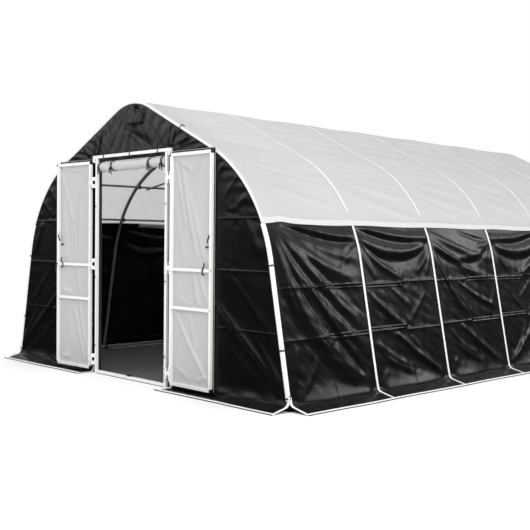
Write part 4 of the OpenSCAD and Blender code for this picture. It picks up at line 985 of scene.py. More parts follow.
def skirt_length(lean):
    """Distance from a skirt's top edge to its hem."""
    bend_length = SKIRT_BEND * (math.pi / 2 - SKIRT_SLOPE - lean)
    return SKIRT_LAP + bend_length + skirt_run(lean, SKIRT_BEND, SKIRT_SLOPE)


def skirt_puff(a, share, held, seed):
    """How far a skirt stands off the ground and the wall: uneven, and nothing where it is held."""
    window = np.sin(math.pi * share) * held
    return window * (0.004 + 0.0050 * np.abs(crinkle(a, share * 0.2, 0.24, seed))
                     + 0.0008 * np.abs(crinkle(a, share * 0.2, 0.09, seed + 1)))


def hem_drift(a, seed):
    """How far a skirt's hem drifts in and out along its length."""
    return 0.004 * crinkle(a, 0 * a, 0.9, seed)


SIDE_LENGTH = skirt_length(LEAN)

# %% Side skirts and end skirts
LEAF_BEND = 0.034
SKIRT_TUCK = 0.0036
PAST_LEAVES = 1.18
FLAT_EASE = 0.20
SIDE_SEED = 21
SIDE_END = HALF_LENGTH + 0.0165
END_SIDE = 1.9960
DOORWAY_SKIRT = 0.585
# End skirts: from, to, which way they face, seed
END_SKIRTS = (
    (DOORWAY_SKIRT, END_SIDE, -1, 23),
    (-END_SIDE, -DOORWAY_SKIRT, -1, 25),
    (-END_SIDE, END_SIDE, 1, 27),
)
skirt_share = np.linspace(0, 1, 24)[:, None]


def skirt_grid(along, lean, plane, held, seed, full):
    """A skirt's outward and upward distances, and its UV in metres.

    full is 0 where the skirt lies flat under a leaf and 1 where it slopes down freely. The top edge goes
    just behind the wall, so the one cloth grows out of the other.
    """
    bend = LEAF_BEND + (SKIRT_BEND - LEAF_BEND) * full
    bend = bend * (1 + held * 0.22 * crinkle(along, 0 * along, 0.5, seed + 4))
    puff = skirt_puff(along, skirt_share, held, seed) * (0.38 + 0.62 * full)
    puff = puff - SKIRT_TUCK * ridge(skirt_share, 0.18)
    section, _ = skirt_section(skirt_share, lean, plane, puff, bend, SKIRT_SLOPE * full)
    out = section[..., 0] + hem_drift(along, seed) * skirt_share ** 2
    return out, section[..., 1], spread(along, -skirt_share * SIDE_LENGTH)


def end_held(along, start, stop):
    """1 along a skirt, and 0 at its two ends."""
    return np.clip(np.minimum(along - start, stop - along) / 0.10, 0, 1)


side_along = samples(-SIDE_END, SIDE_END, 0.02)
side_u = bay_place(side_along)[1]
side_hold = (1 - np.abs(2 * side_u - 1) ** 7) * end_held(side_along, -SIDE_END, SIDE_END)
out, up, uv = skirt_grid(side_along, LEAN, SIDE_PLANE, side_hold, SIDE_SEED, 1.0)
right_skirt = spread(out, side_along, up)
skirts = piece("side_skirt_sheets", [(right_skirt, uv), (right_skirt[:, ::-1] * (-1, 1, 1), uv[:, ::-1])],
               black_cover, "frame", ["side_skirts"], CLOTH_THICK)

end_patches = []
for start, stop, facing, seed in END_SKIRTS:
    along = samples(start, stop, 0.02)
    past_leaves = np.clip((np.abs(along) - PAST_LEAVES) / FLAT_EASE, 0, 1) if facing < 0 else 1.0
    out, up, uv = skirt_grid(along, 0.0, END_PLANE, end_held(along, start, stop), seed, past_leaves)
    end_patches.append((spread(along, out * facing, up)[:, ::-facing], uv[:, ::-facing]))
end_skirts = piece("end_skirt_sheets", end_patches, black_cover, "frame", ["gable_skirts"],
                   CLOTH_THICK)

# %% [markdown]
# ## White lines
#
# White webbing runs down each wall over its hoop, round the skirt's bend and out to the hem. The corners
# have a wider trim that wraps from the end onto the side. The roof's two ends are bound with a white
# piping. The skirts' hems have a white bead with a thin black round line on the ground just outside it,
# and their ends a white strip. All are profiles carried along paths.

# %% Webbing over the hoops
WEB_WIDTH = 0.025
WEB_THICK = 0.0028
WEB_LIFT = 0.0022
WEB_TOP = EAVE_RUN + 0.012
WEB_JOIN = 0.02


def web_drawing(top_run, lifted):
    """Drawing of a strip from the hem over the skirt and up the wall: points, and the ways off the cloth."""
    low, low_out = skirt_section(np.linspace(1.0, 0.03, 34), LEAN, SIDE_PLANE, lifted)
    low_top = np.linalg.norm(low[-1] - FOOT) + WEB_JOIN
    high, high_out = arch(np.linspace(low_top, top_run, 46), SKIRT_OUT + lifted)
    return np.concatenate([low, high]), np.concatenate([low_out, high_out])


web_patches = []
for y in HOOP_YS[1:-1]:
    for side in (1, -1):
        path, out = upright_path(*web_drawing(WEB_TOP, WEB_LIFT), y, side)
        web_patches.append(swept(path, ALONG, out, strap_profile(WEB_WIDTH, WEB_THICK)))
piece("wall_webbing_strips", web_patches, white_webbing, "frame", ["wall_webbing"])

# %% Corner trims
TRIM_FRONT = 0.030
TRIM_SIDE = 0.020
TRIM_THICK = 0.0024
TRIM_EASE = 0.005
TRIM_OUT = 0.0212
TRIM_FOOT = 0.075
TRIM_TOP = EAVE_RUN + 0.006
TRIM_Y = COVER_Y + 0.0030


def ribbon_profile(middle, thick):
    """A closed loop round a thin ribbon: its middle line moved half its thickness to either side."""
    way = np.gradient(middle, axis=0)
    way /= np.linalg.norm(way, axis=-1, keepdims=True)
    square = spread(way[:, 1], -way[:, 0])
    return np.concatenate([middle + square * thick / 2, (middle - square * thick / 2)[::-1]])


def corner_ribbon():
    """The trim's section as (back along the side, out): front strip, eased corner, side strip."""
    turn = TRIM_EASE * (1 + unit(np.linspace(math.pi, math.pi / 2, 7))) - (0, 2 * TRIM_EASE)
    front = spread(0.0, np.linspace(-TRIM_FRONT, -2 * TRIM_EASE, 4))
    back = spread(np.linspace(2 * TRIM_EASE, TRIM_SIDE, 3), 0.0)
    return ribbon_profile(np.concatenate([front, turn, back]), TRIM_THICK)


trim_drawing = arch(np.linspace(TRIM_FOOT, TRIM_TOP, 60), TRIM_OUT)
trim_patches = []
for side in (1, -1):
    for end in (-1, 1):
        path, out = upright_path(*trim_drawing, end * TRIM_Y, side)
        trim_patches.append(swept(path, -end * ALONG, out, corner_ribbon()))
piece("corner_trim_bands", trim_patches, white_webbing, "frame", ["corner_trims"])

# %% Piping on the roof's ends
PIPING_WIDTH = 0.022
PIPING_THICK = 0.0060
PIPING_FOOT = EAVE_RUN + 0.004
PIPING_OUT = ROOF_OUT - 0.006
PIPING_Y = COVER_Y + 0.0022
piping_run = np.linspace(PIPING_FOOT, 2 * ARCH_HALF - PIPING_FOOT, 150)
piping_drawing = arch(piping_run, PIPING_OUT)
piping_patches = []
for end in (-1, 1):
    path, out = upright_path(*piping_drawing, end * PIPING_Y)
    piping_patches.append(swept(path, end * ALONG, out, strap_profile(PIPING_THICK, PIPING_WIDTH)))
piece("roof_edge_bands", piping_patches, white_webbing, "frame", ["roof_edge_piping"])

# %% Hem beads, and strips up the skirts' ends
BEAD_R = 0.0075
EDGE_R = 0.0034
EDGE_PAST = BEAD_R + 0.0020
END_STRIP = 0.025


def hem_lines(past, radius):
    """Round beads on the ground along the hems of all five skirts, past the hems by a distance."""
    profile = round_profile(radius)
    hem = SIDE_PLANE / math.cos(LEAN) + SKIRT_WIDTH + hem_drift(side_along, SIDE_SEED) + past
    lines = [swept(spread(side * hem, side_along, radius), ACROSS, UP, profile) for side in (1, -1)]
    for start, stop, facing, seed in END_SKIRTS:
        along = samples(start, stop, 0.02)
        hem = END_PLANE + SKIRT_WIDTH + hem_drift(along, seed) + past
        lines.append(swept(spread(along, facing * hem, radius), ALONG, UP, profile))
    return lines


hem_patches = hem_lines(0.0, BEAD_R)
strip_share = np.linspace(1.0, 0.02, 36)
strip = strap_profile(END_STRIP, WEB_THICK)
side_strip = skirt_section(strip_share, LEAN, SIDE_PLANE, WEB_LIFT)
corner_strip = skirt_section(strip_share, 0.0, END_PLANE, WEB_LIFT)
doorway_strip = skirt_section(strip_share, 0.0, END_PLANE, WEB_LIFT, LEAF_BEND, 0.0)
corner_x, doorway_x = END_SIDE - END_STRIP / 2, DOORWAY_SKIRT + END_STRIP / 2
for side in (1, -1):
    for end in (1, -1):
        path, out = upright_path(*side_strip, end * (SIDE_END - END_STRIP / 2), side)
        hem_patches.append(swept(path, ALONG, out, strip))
        for x, (flat, facing) in ((corner_x, corner_strip), (doorway_x, doorway_strip))[:2 if end < 0 else 1]:
            path = spread(side * x, end * flat[:, 0], flat[:, 1])
            hem_patches.append(swept(path, ACROSS, spread(0.0, end * facing[:, 0], facing[:, 1]), strip))
piece("skirt_hem_beads", hem_patches, white_webbing, "frame", ["hem_piping"])
# Thin black round lines on the ground just outside the hem beads, darker than the floor there
piece("skirt_hem_dark_lines", hem_lines(EDGE_PAST, EDGE_R), black_strap, "frame")

# %% [markdown]
# ## Curtain
#
# The door curtain is rolled up on a tube and tied under the header. The roll is a real spiral of cloth,
# drawn in where the ties hold it and wrinkled slantwise between them. The short stretch of curtain from the
# header down to the roll is attached to no body. It is black outside and white inside.

# %% Curtain roll
ROLL_HALF = 0.500
ROLL_R = 0.0475
ROLL_Y = -HALF_LENGTH - 0.0072
ROLL_Z = 1.922
ROLL_START = 0.0128
ROLL_TURNS = 8
ROLL_TIES = ROLL_HALF * np.array([-0.95, -0.57, 0.57, 0.93])

roll_x = samples(-ROLL_HALF, ROLL_HALF, 0.014)
roll_turn = np.linspace(0, 2 * math.pi * ROLL_TURNS, 40 * ROLL_TURNS + 1)[:, None]
roll_depth = roll_turn / roll_turn.max()
pinch = sum(ridge(roll_x - tie, 0.028) for tie in ROLL_TIES)
slack = (0.0034 * np.sin(2 * math.pi * roll_x / 0.21 + 2.2 * roll_turn)
         + 0.0020 * np.sin(2 * math.pi * roll_x / 0.083 - 3 * roll_turn))
roll_r = ROLL_START + (ROLL_R - ROLL_START) * roll_depth
loose = slack * roll_depth ** 6 * (1 - np.clip(pinch, 0, 1))
roll_r = roll_r * (1 - 0.060 * pinch) + loose - 0.002 * roll_depth
roll_points = spread(roll_x, ROLL_Y + roll_r * np.cos(roll_turn), ROLL_Z + roll_r * np.sin(roll_turn))
roll_cloth = lengths(roll_points[:, 0])
roll_uv = spread(roll_x, roll_cloth[:, None])
roll = piece("curtain_roll_cloth", [(roll_points[:, ::-1], roll_uv[:, ::-1])], curtain_white,
             "curtain", ["curtain_roll"], CLOTH_THICK)

# %% Curtain's hanging stretch
STRETCH_TOP = 2.0155
STRETCH_FOOT = 1.9700
STRETCH_Y = -HALF_LENGTH - 0.0152
stretch_z = np.linspace(STRETCH_TOP, STRETCH_FOOT, 22)[:, None]
stretch_share = (STRETCH_TOP - stretch_z) / (STRETCH_TOP - STRETCH_FOOT)
stretch_y = STRETCH_Y + 0.0006 * np.sin(roll_x * 31) * np.sin(math.pi * stretch_share)
stretch_points = spread(roll_x, stretch_y, stretch_z)
stretch = piece("curtain_hanging_stretch", [(stretch_points, spread(roll_x, stretch_z))], black_cover, None,
                ["curtain_sheet"], CLOTH_THICK)
stretch.data.materials.append(curtain_white)
stretch.modifiers[0].material_offset = 1
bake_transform(stretch)

# %% [markdown]
# ## Doors
#
# Each leaf is a white tube frame with a pale cloth behind it and a black skin behind that. The cloth is
# laced tight at the rails, so pulled folds run between them, mostly slantwise. The two leaves are the same
# piece, one mirrored and standing a little off the wall, so a leaf is drawn in its own distances and then
# put in place.

# %% Place of a leaf
AXIS_X = 0.570
AXIS_Y = -HALF_LENGTH - 0.062
LEAF_X = 0.600
LEAF_Y = -HALF_LENGTH - 0.058
LEAF_WIDTH = 0.538
LEAF_BOTTOM = 0.033
LEAF_TOP = 1.978
LEAF_RAILS = (0.690, 1.010)
TUBE = 0.025
LEFT_AJAR = math.radians(3.5)
LEAVES = {"left": -1, "right": 1}


def on_leaf(side, across, level, z):
    """Points of a leaf: a distance across it from its hinge edge, one behind its face, and a height.

    The right leaf lies along the wall. The left one is its mirror image, turned about its hinge axis.
    """
    x, y = LEAF_X + across, LEAF_Y + level
    if side < 0:
        dx, dy = -x + AXIS_X, y - AXIS_Y
        x = -AXIS_X + dx * math.cos(LEFT_AJAR) - dy * math.sin(LEFT_AJAR)
        y = AXIS_Y + dx * math.sin(LEFT_AJAR) + dy * math.cos(LEFT_AJAR)
    return spread(x, y, z)

# %% Folds of the leaf cloth
FIELDS = {
    "low": (LEAF_BOTTOM + TUBE, LEAF_RAILS[0] - TUBE / 2),
    "middle": (LEAF_RAILS[0] + TUBE / 2, LEAF_RAILS[1] - TUBE / 2),
    "high": (LEAF_RAILS[1] + TUBE / 2, LEAF_TOP - TUBE),
}
# Pulled folds: start and end in shares of a field from its hinge corner, width, height in mm
LEAF_PULLS = {
    ("right", "high"): [
        (0.05, 0.96, 0.36, 0.34, 0.075, 7), (0.2, 0.95, 0.64, 0.08, 0.07, 9),
        (0.44, 0.66, 0.84, 0.05, 0.06, 6), (0.1, 0.45, 0.3, 0.06, 0.06, 4),
        (0.96, 0.98, 0.5, 0.84, 0.06, 9), (0.04, 0.98, 0.52, 0.86, 0.06, 8),
    ],
    ("right", "middle"): [
        (0.52, 0.98, 0.68, 0.04, 0.045, 7), (0.7, 0.96, 0.92, 0.06, 0.05, 8),
        (0.04, 0.3, 0.5, 0.05, 0.06, 4),
    ],
    ("right", "low"): [
        (0.03, 0.99, 0.95, 0.03, 0.034, 10), (0.42, 0.97, 0.62, 0.45, 0.06, 4),
        (0.05, 0.22, 0.55, 0.04, 0.06, 5), (0.95, 0.16, 0.6, 0.05, 0.05, 5),
    ],
    ("left", "high"): [
        (0.96, 0.98, 0.56, 0.42, 0.055, 8), (0.06, 0.97, 0.44, 0.5, 0.055, 8),
        (0.94, 0.92, 0.74, 0.06, 0.05, 7), (0.3, 0.8, 0.38, 0.04, 0.045, 5),
        (0.95, 0.985, 0.06, 0.945, 0.05, 9),
    ],
    ("left", "middle"): [
        (0.42, 0.97, 0.32, 0.05, 0.045, 6), (0.22, 0.95, 0.06, 0.12, 0.045, 6),
        (0.95, 0.25, 0.55, 0.06, 0.06, 5),
    ],
    ("left", "low"): [
        (0.36, 0.98, 0.04, 0.04, 0.045, 9), (0.52, 0.9, 0.16, 0.06, 0.05, 7),
        (0.92, 0.08, 0.62, 0.1, 0.06, 7), (0.7, 0.96, 0.62, 0.3, 0.06, 4),
    ],
}
LEAF_FOLD_SCALE = 1.7


def leaf_fold(name, across, z):
    """How far a leaf's cloth comes forward: a belly in each field, pulled folds and small dents."""
    total = 0
    u = (across - TUBE) / (LEAF_WIDTH - 2 * TUBE)
    for field, (foot, head) in FIELDS.items():
        v = (z - foot) / (head - foot)
        inside = (u > 0) & (u < 1) & (v > 0) & (v < 1)
        window = np.clip(4 * np.sin(math.pi * u), 0, 1) * np.clip(6 * np.sin(math.pi * v), 0, 1)
        tall = (head - foot) / LEAF_WIDTH
        folds = LEAF_FOLD_SCALE * all_pulls(u, v * tall, LEAF_PULLS[name, field], b_size=tall)
        belly = 0.003 * np.sin(math.pi * np.clip(u, 0, 1)) * np.sin(math.pi * np.clip(v, 0, 1))
        total = total + np.where(inside, window * (belly + folds + 0.0006 * crinkle(across, z, 0.11, 31)), 0)
    return total

# %% Leaf cloth and skins
PANEL_LEVEL = 0.0258
PANEL_EDGE = 0.003
SKIN_LEVEL = 0.0290
SKIN_TOP = LEAF_TOP + 0.018
SKIN_HINGE = -0.008
SKIN_FREE = {"left": LEAF_WIDTH - 0.012, "right": LEAF_WIDTH + 0.010}
BINDING_R = 0.0026
BINDING_CORNER = 0.006
BINDING_LEVEL = SKIN_LEVEL + 0.0005
TOP_POINTS, DOWN_POINTS = 20, 60
panel_across = samples(PANEL_EDGE, LEAF_WIDTH - PANEL_EDGE, 0.009)
panel_z = samples(LEAF_BOTTOM + PANEL_EDGE, LEAF_TOP - PANEL_EDGE, 0.011)[:, None]
skin_z = np.linspace(LEAF_BOTTOM, SKIN_TOP, 80)[:, None]


def leaf_patch(side, across, level, z):
    """A sheet on a leaf and its UV in metres, with its faces to the front on either leaf."""
    return on_leaf(side, across, level, z)[:, ::-side], spread(across, z)[:, ::-side]


def leaf_binding(side, free):
    """A round binding along the top of a leaf's skin and down its free edge."""
    top = np.linspace(SKIN_HINGE, free - BINDING_CORNER, TOP_POINTS)
    down = np.linspace(SKIN_TOP - BINDING_CORNER, LEAF_BOTTOM, DOWN_POINTS)
    bound = on_leaf(side, np.concatenate([top, np.full(DOWN_POINTS, free)]), BINDING_LEVEL,
                    np.concatenate([np.full(TOP_POINTS, SKIN_TOP), down]))
    tangent = np.gradient(bound, axis=0)
    facing = on_leaf(side, 0.0, 1.0, 0.0) - on_leaf(side, 0.0, 0.0, 0.0)
    outer = np.cross(tangent / np.linalg.norm(tangent, axis=-1, keepdims=True), facing)
    return swept(bound, outer, facing, round_profile(BINDING_R, 8))


for name, side in LEAVES.items():
    leaf, body, free = name + "_leaf_", name + "_door", SKIN_FREE[name]
    level = PANEL_LEVEL - leaf_fold(name, panel_across, panel_z)
    cloth = piece(leaf + "cloth", [leaf_patch(side, panel_across, level, panel_z)], door_pale,
                  body, [leaf + "panel"], CLOTH_THICK)
    skin_across = np.linspace(SKIN_HINGE, free, 26)
    level = SKIN_LEVEL + 0.0003 * crinkle(skin_across, skin_z, 0.2, 33)
    skin = piece(leaf + "outer_skin", [leaf_patch(side, skin_across, level, skin_z)], black_cover,
                 body, [leaf + "skin"], CLOTH_THICK)
    binding = piece(leaf + "binding", [leaf_binding(side, free)], grey_binding, body)

# %% [markdown]
# The small fittings of a leaf are solids of revolution and rounded boxes: pan-headed hinge screws, bolt
# heads at the ends of the middle rails, and black caps on the ends of the top and bottom tubes.

# %% Leaf fittings
# Outlines of the heads: radius and height from the top down
SCREW_HEAD = [(0.0, 0.0026), (0.0016, 0.0025), (0.0034, 0.0019), (0.0045, 0.0009), (0.0048, 0.0),
              (0.0048, -0.0012), (0.0, -0.0012)]
BOLT_HEAD = [(0.0, 0.0042), (0.0030, 0.0041), (0.0050, 0.0033), (0.0064, 0.0014), (0.0066, 0.0),
             (0.0066, -0.0010), (0.0, -0.0010)]
HINGE_ZS = (0.130, 1.020, 1.780)
SCREW_STEPS = (-0.030, 0.030)
PLATE = 0.003
CAP_LIP = 0.0014
CAP = 0.014
CAP_SIZES = (CAP, TUBE + 2 * CAP_LIP, TUBE + 2 * CAP_LIP)


def turned(outline, side, across, level, z, sides=14):
    """A head turned about a line out of the leaf's face: its outline's radius and height at each angle."""
    radius, height = np.array(outline).T
    angle = np.linspace(0, 2 * math.pi, sides + 1)[:, None]
    grid = on_leaf(side, across + radius * np.cos(angle), level - height, z + radius * np.sin(angle))
    return grid, spread(radius, angle)


def rounded_block(side, across, level, z, sizes, power=0.12, sides=25):
    """A box with rounded edges: a ball whose sines and cosines are drawn out towards a box."""
    wide = np.linspace(-math.pi, math.pi, sides)
    tall = np.linspace(-math.pi / 2, math.pi / 2, sides)[:, None]
    girth = drawn(np.cos(tall), power)
    grid = on_leaf(side, across + girth * drawn(np.cos(wide), power) * sizes[0] / 2,
                   level + girth * drawn(np.sin(wide), power) * sizes[1] / 2,
                   z + drawn(np.sin(tall), power) * sizes[2] / 2)
    return grid, spread(wide * 0.01, tall * 0.01)


for name, side in LEAVES.items():
    leaf, body = name + "_leaf_", name + "_door"
    heads = [turned(SCREW_HEAD, side, TUBE / 2, -PLATE, z + step) for z in HINGE_ZS for step in SCREW_STEPS]
    heads += [turned(BOLT_HEAD, side, LEAF_WIDTH - TUBE / 2, 0.0, z) for z in LEAF_RAILS]
    piece(leaf + "screws", heads, zinc_plate, body)
    caps = [rounded_block(side, across, TUBE / 2, z + TUBE / 2, CAP_SIZES)
            for across in (CAP / 2 - CAP_LIP, LEAF_WIDTH - CAP / 2 + CAP_LIP)
            for z in (LEAF_BOTTOM, LEAF_TOP - TUBE)]
    piece(leaf + "plugs", caps, black_nylon, body, [leaf + "fittings"])

# %% [markdown]
# ## Straps and ties
#
# Black ties hold the covers: round the curtain roll, over the header, across the corner trims and on the
# door leaves. Each is a flat strap carried along a few points joined by a smooth curve.

# %% Straps from a few points
STRAP_THICK = 0.0024


def smooth_path(points, count=24):
    """A smooth path through a few points: cubics in each coordinate, with slopes from neighbours."""
    points = np.array(points, float)
    slopes = np.gradient(points, axis=0)
    place = np.linspace(0, len(points) - 1, count)
    at = np.minimum(place.astype(int), len(points) - 2)
    t = (place - at)[:, None]
    return ((1 + 2 * t) * (1 - t) ** 2 * points[at] + t * (1 - t) ** 2 * slopes[at]
            + t * t * (3 - 2 * t) * points[at + 1] + t * t * (t - 1) * slopes[at + 1])


def strap(points, facing, broad, deep=STRAP_THICK, count=24):
    """A strap along a smooth path: deep is its measure towards facing, and broad the one square to it.

    A strap that lies on something faces away from it and is broader than deep. One that is bent round a
    tube faces along the tube, and is deeper than broad.
    """
    path = smooth_path(points, count)
    tangent = np.gradient(path, axis=0)
    tangent /= np.linalg.norm(tangent, axis=-1, keepdims=True)
    across = np.cross(tangent, np.asarray(facing, float))
    across /= np.linalg.norm(across, axis=-1, keepdims=True)
    return swept(path, across, np.cross(across, tangent), strap_profile(broad, deep, 10))

# %% Ties round the curtain roll
TIE_WIDTH = 0.022
TAIL_WIDTH = 0.016
ROLL_TIE_R = ROLL_R + 0.0005
ROLL_TIE_THICK = 0.0030
# The knot of a tie, from the roll's middle: across, back and up
KNOT = np.array([0.0, -0.0495, -0.022])
TIE_LEANS = (0.012, -0.014, 0.010, -0.010)
# Loose tails, from the knot on: across, back and up
TAILS = [
    [(-0.010, 0.006, 0.010), (0.002, -0.002, 0.002), (0.012, -0.001, -0.012), (0.017, 0.001, -0.034),
     (0.025, -0.001, -0.058)],
    [(0.010, 0.006, 0.008), (-0.004, -0.003, 0.001), (-0.014, 0.001, -0.016), (-0.013, 0.002, -0.046)],
]


def roll_tie(x, radius, width, tilt):
    """A closed strap round the curtain roll at a place along it, a little aslant."""
    angle = np.linspace(0, 2 * math.pi, 40, endpoint=False)
    out = spread(0.0, np.cos(angle), np.sin(angle))
    path = np.array([x, ROLL_Y, ROLL_Z]) + radius * out + ACROSS * (tilt * np.sin(angle + 0.6))[:, None]
    return swept(path, ACROSS, out, strap_profile(width, ROLL_TIE_THICK, 10), closed=True)


roll_ties = []
for x, tilt in zip(ROLL_TIES, TIE_LEANS):
    knot = KNOT + (x, ROLL_Y, ROLL_Z)
    roll_ties.append(roll_tie(x, ROLL_TIE_R, TIE_WIDTH, tilt))
    roll_ties += [strap(knot + tail, -ALONG, TAIL_WIDTH) for tail in TAILS]
piece("curtain_roll_ties", roll_ties, black_strap, "curtain", ["curtain_ties"])

# %% Ties on the header, the gable and the corner trims
BAND_WIDTH = 0.012
HEADER_Z = 2.003
HEADER_HALF = 0.585
HEADER_TIES = HEADER_HALF * np.array([-0.7, 0.0, 0.7])
HEADER_BACK = -HALF_LENGTH - 0.0192
HEADER_FRONT = -HALF_LENGTH - 0.0454
HEADER_SLACK = 0.0014
HEADER_LOW, HEADER_HIGH = HEADER_Z - HEADER_SLACK, HEADER_Z + TUBE + HEADER_SLACK
TRIM_TIES = (0.095, 0.45, 1.09)
TRIM_TIE_OUT = 0.0222
TRIM_TIE_Y = COVER_Y + 0.0046
# A trim's tie, from the corner: out and back
TRIM_TIE = [(-0.034, 0.0), (-0.016, 0.0), (-0.003, 0.0), (0.0016, 0.004), (0.0016, 0.014), (0.0, 0.027)]
RAFTER_TIE_X = 0.684
RAFTER_TIE_Y = COVER_Y + 0.007
RAFTER_TIE_WIDTH = 0.010
RAFTER_TIE_THICK = 0.0030
# The rafter's tie, from the roof's edge: out and back
RAFTER_TIE = [(-0.040, 0.0), (-0.012, 0.0), (0.006, 0.004), (0.012, 0.022), (0.004, 0.046)]


def trim_tie(run, side, end):
    """A black band across a corner trim: over its front strip, round the edge and along its side strip."""
    flat, facing = arch(run, TRIM_TIE_OUT)
    edge = np.array([flat[0] * side, end * TRIM_TIE_Y, flat[1]])
    out = np.array([facing[0] * side, 0.0, facing[1]])
    back = -end * ALONG
    points = [edge + outward * out + inward * back for outward, inward in TRIM_TIE]
    return strap(points, np.cross(out, back), STRAP_THICK, BAND_WIDTH, 30)


def rafter_tie():
    """A loose tie over the roof's front edge: up the gable, over the edge and back on the roof."""
    run = float(np.interp(-RAFTER_TIE_X, -arch(half_runs, 0.0)[0][:, 0], half_runs))
    spot, out = (np.insert(value, 1, 0.0) for value in arch(run, ROOF_OUT))
    edge = spot - RAFTER_TIE_Y * ALONG
    points = [edge + outward * out + inward * ALONG for outward, inward in RAFTER_TIE]
    return strap(points, ACROSS, RAFTER_TIE_WIDTH, RAFTER_TIE_THICK, 30)


frame_ties = [strap([(x, HEADER_BACK, HEADER_LOW), (x, HEADER_FRONT, HEADER_LOW),
                     (x, HEADER_FRONT, HEADER_HIGH), (x, HEADER_BACK, HEADER_HIGH)],
                    ACROSS, STRAP_THICK, BAND_WIDTH, 40) for x in HEADER_TIES]
frame_ties += [trim_tie(run, side, end) for run in TRIM_TIES for side in (1, -1) for end in (1, -1)]
frame_ties.append(rafter_tie())
piece("frame_ties", frame_ties, black_strap, "frame", ["header_ties"])

# %% Ties on the leaves
LEAF_STRAP_THICK = 0.0018
# Ties on a leaf: points as (past the free edge, in front of the face, above the upper rail), width, samples
LEAF_TIES = [
    ([(-0.088, 0.002, 0.062), (-0.078, 0.007, 0.040), (-0.094, 0.006, 0.016), (-0.106, 0.004, -0.010),
      (-0.098, 0.004, -0.030), (-0.082, 0.003, -0.034)], 0.017, 24),
    ([(-0.090, -0.016, 0.186), (-0.070, -0.012, 0.190), (-0.046, -0.014, 0.186)], 0.014, 12),
    ([(-0.030, -0.002, 0.290), (-0.026, 0.003, 0.268), (-0.042, 0.003, 0.244), (-0.048, -0.004, 0.222)],
     0.016, 24),
]
LEFT_LOOP = ([(-0.004, 0.002, 0.006), (0.006, 0.006, -0.024), (0.014, 0.002, -0.070), (0.006, -0.010, -0.112),
              (0.001, -0.006, -0.080), (0.0005, 0.0, -0.030)], 0.013, 36)


def leaf_strap(side, points, width, count):
    """A strap on a leaf, from points that are measured from its free edge and its upper rail."""
    past, ahead, above = np.array(points).T
    out = on_leaf(side, 0.0, -1.0, 0.0) - on_leaf(side, 0.0, 0.0, 0.0)
    path = on_leaf(side, LEAF_WIDTH + past, -ahead, LEAF_RAILS[1] + above)
    return strap(path, out, width, LEAF_STRAP_THICK, count)


for name, side in LEAVES.items():
    ties = LEAF_TIES + [LEFT_LOOP] if name == "left" else LEAF_TIES
    patches = [leaf_strap(side, *tie) for tie in ties]
    piece(name + "_leaf_ties", patches, black_strap, name + "_door")

# %% [markdown]
# ## Studio
#
# A plain pale floor and soft light. The sky is a dome that is bright overhead and dim at the horizon: the
# black walls mirror the horizon and stay dark, while every fold that leans up catches the bright part. Four
# soft lights add to it. One from the right and behind draws the folds of the long wall, one from the right
# rakes over the roof and the front, and two from the front and the left draw the folds of the gable. The
# photograph is cut out on white, but its black film looks as if it stood over dark ground. So the floor is
# pale to the eye and to the light that it throws back, but dark in the black film's mirror. Inside the
# shelter a dark patch of ground carries the shade there as painted shade in its colour, mottled at random.

# %% Floor, and the ground inside
FLOOR_HALF = 30.0
FLOOR_Z = -0.0006
INSIDE_Z = -0.0003
INSIDE_HALF = (1.96, 3.06)
FLOOR_CLOUD = 0.8
GROUND_MOTTLE = 0.09


def ground_plane(name, half_x, half_y, z, finish):
    """A level plane about the middle that belongs to the stage."""
    grid = spread(np.linspace(-half_x, half_x, 3)[:, None], np.linspace(-half_y, half_y, 3), z)
    mesh = grid_mesh(name, [(grid, grid[..., :2])])
    mesh.materials.append(finish)
    made = bpy.data.objects.new(name, mesh)
    bpy.context.scene.collection.objects.link(made)
    print(f"{name}: {2 * half_x:.2f} by {2 * half_y:.2f} m")


pale_floor, tree = start_material("matt studio floor, pale")
place = add(tree, "TexCoord", out="Object")
cloud = add(tree, "TexNoise", {"Vector": place, "Scale": 1 / FLOOR_CLOUD, "Detail": 4.0})
colour = add(tree, "Mix", {0: cloud, 6: linear("#f2f2f1"), 7: linear("#f6f6f5")}, 2, data_type="RGBA")
pale = add(tree, "BsdfPrincipled", {"Base Color": colour, "Roughness": 0.95, "Specular IOR Level": 0.1})
turf = add(tree, "BsdfDiffuse", {"Color": linear("#2a2a29")})
mirrored = add(tree, "LightPath", out="Is Glossy Ray")
add(tree, "OutputMaterial", {"Surface": add(tree, "MixShader", {0: mirrored, 1: pale, 2: turf})})
ground_plane("studio_floor", FLOOR_HALF, FLOOR_HALF, FLOOR_Z, pale_floor)

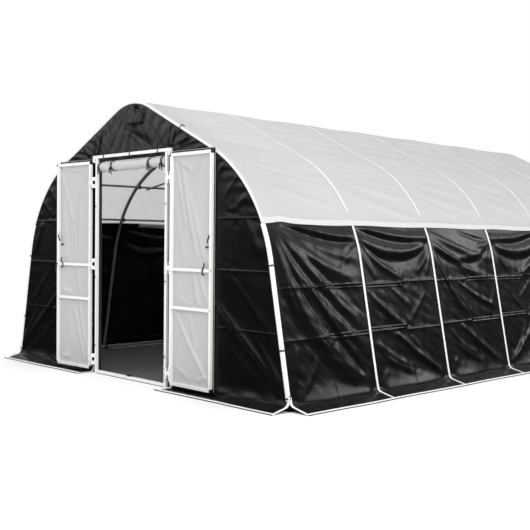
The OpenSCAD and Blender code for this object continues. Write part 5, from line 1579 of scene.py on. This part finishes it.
# The dark ground inside: painted shade in its colour, mottled at random, with a bump
painted_shade_ground, tree = start_material("dark ground inside, painted shade")
place = add(tree, "TexCoord", out="Object")
ground_mottle = add(tree, "TexNoise", {"Vector": place, "Scale": 1 / GROUND_MOTTLE, "Detail": 8.0, "Roughness": 0.78})
relief = add(tree, "Bump", {"Strength": 0.6, "Distance": 0.01, "Height": ground_mottle})
colour = add(tree, "Mix", {0: ground_mottle, 6: linear("#161615"), 7: linear("#706f6d")}, 2, data_type="RGBA")
soil = add(tree, "BsdfPrincipled", {"Base Color": colour, "Roughness": 0.8, "Normal": relief})
add(tree, "OutputMaterial", {"Surface": soil})
ground_plane("shaded_ground", *INSIDE_HALF, INSIDE_Z, painted_shade_ground)

# %% Sky and lights
# Heights on a dome of radius 1 between which it brightens, and its strength there
HORIZON, ZENITH = 0.08, 0.92
DIM, BRIGHT = 0.12, 1.56
# Soft lights: place, the point that they face, width and height, watts
SOFT_LIGHTS = {
    "wall_softbox": ((9.6, 10.2, 6.3), (3.2, -1.0, 1.0), (7.0, 3.0), 450),
    "raking_softbox": ((10.0, -7.0, 5.0), (0.0, -3.0, 1.3), (5.0, 3.0), 490),
    "gable_softbox": ((-9.5, -10.5, 5.0), (0.0, -3.0, 1.5), (7.0, 4.0), 195),
    "front_softbox": ((-3.0, -13.6, 4.4), (0.5, -3.0, 1.0), (4.5, 2.4), 105),
}
world = bpy.data.worlds.new("studio_dome")
bpy.context.scene.world = world
world.use_nodes = True
tree = world.node_tree
tree.nodes.clear()
height = add(tree, "SeparateXYZ", {0: add(tree, "TexCoord", out="Generated")}, 2)
dome = add(tree, "MapRange", {0: height, 1: HORIZON, 2: ZENITH, 3: DIM, 4: BRIGHT},
           interpolation_type="SMOOTHSTEP")
seen = add(tree, "LightPath", out="Is Camera Ray")
glow = add(tree, "Mix", {0: seen, 2: dome, 3: 1.0})
sky = add(tree, "Background", {"Color": linear("#ffffff"), "Strength": glow})
add(tree, "OutputWorld", {"Surface": sky})


def soft_light(name, at, toward, size, watts):
    """A rectangular soft light at a place, turned towards a point."""
    lamp = bpy.data.lights.new(name, "AREA")
    lamp.shape = "RECTANGLE"
    lamp.size, lamp.size_y = size
    lamp.energy = watts
    made = bpy.data.objects.new(name, lamp)
    turn = (Vector(at) - Vector(toward)).to_track_quat("Z", "Y")
    made.matrix_world = Matrix.Translation(at) @ turn.to_matrix().to_4x4()
    bpy.context.scene.collection.objects.link(made)


for name, settings in SOFT_LIGHTS.items():
    soft_light(name, *settings)
bpy.context.scene.view_settings.view_transform = "Standard"
print("studio ready")
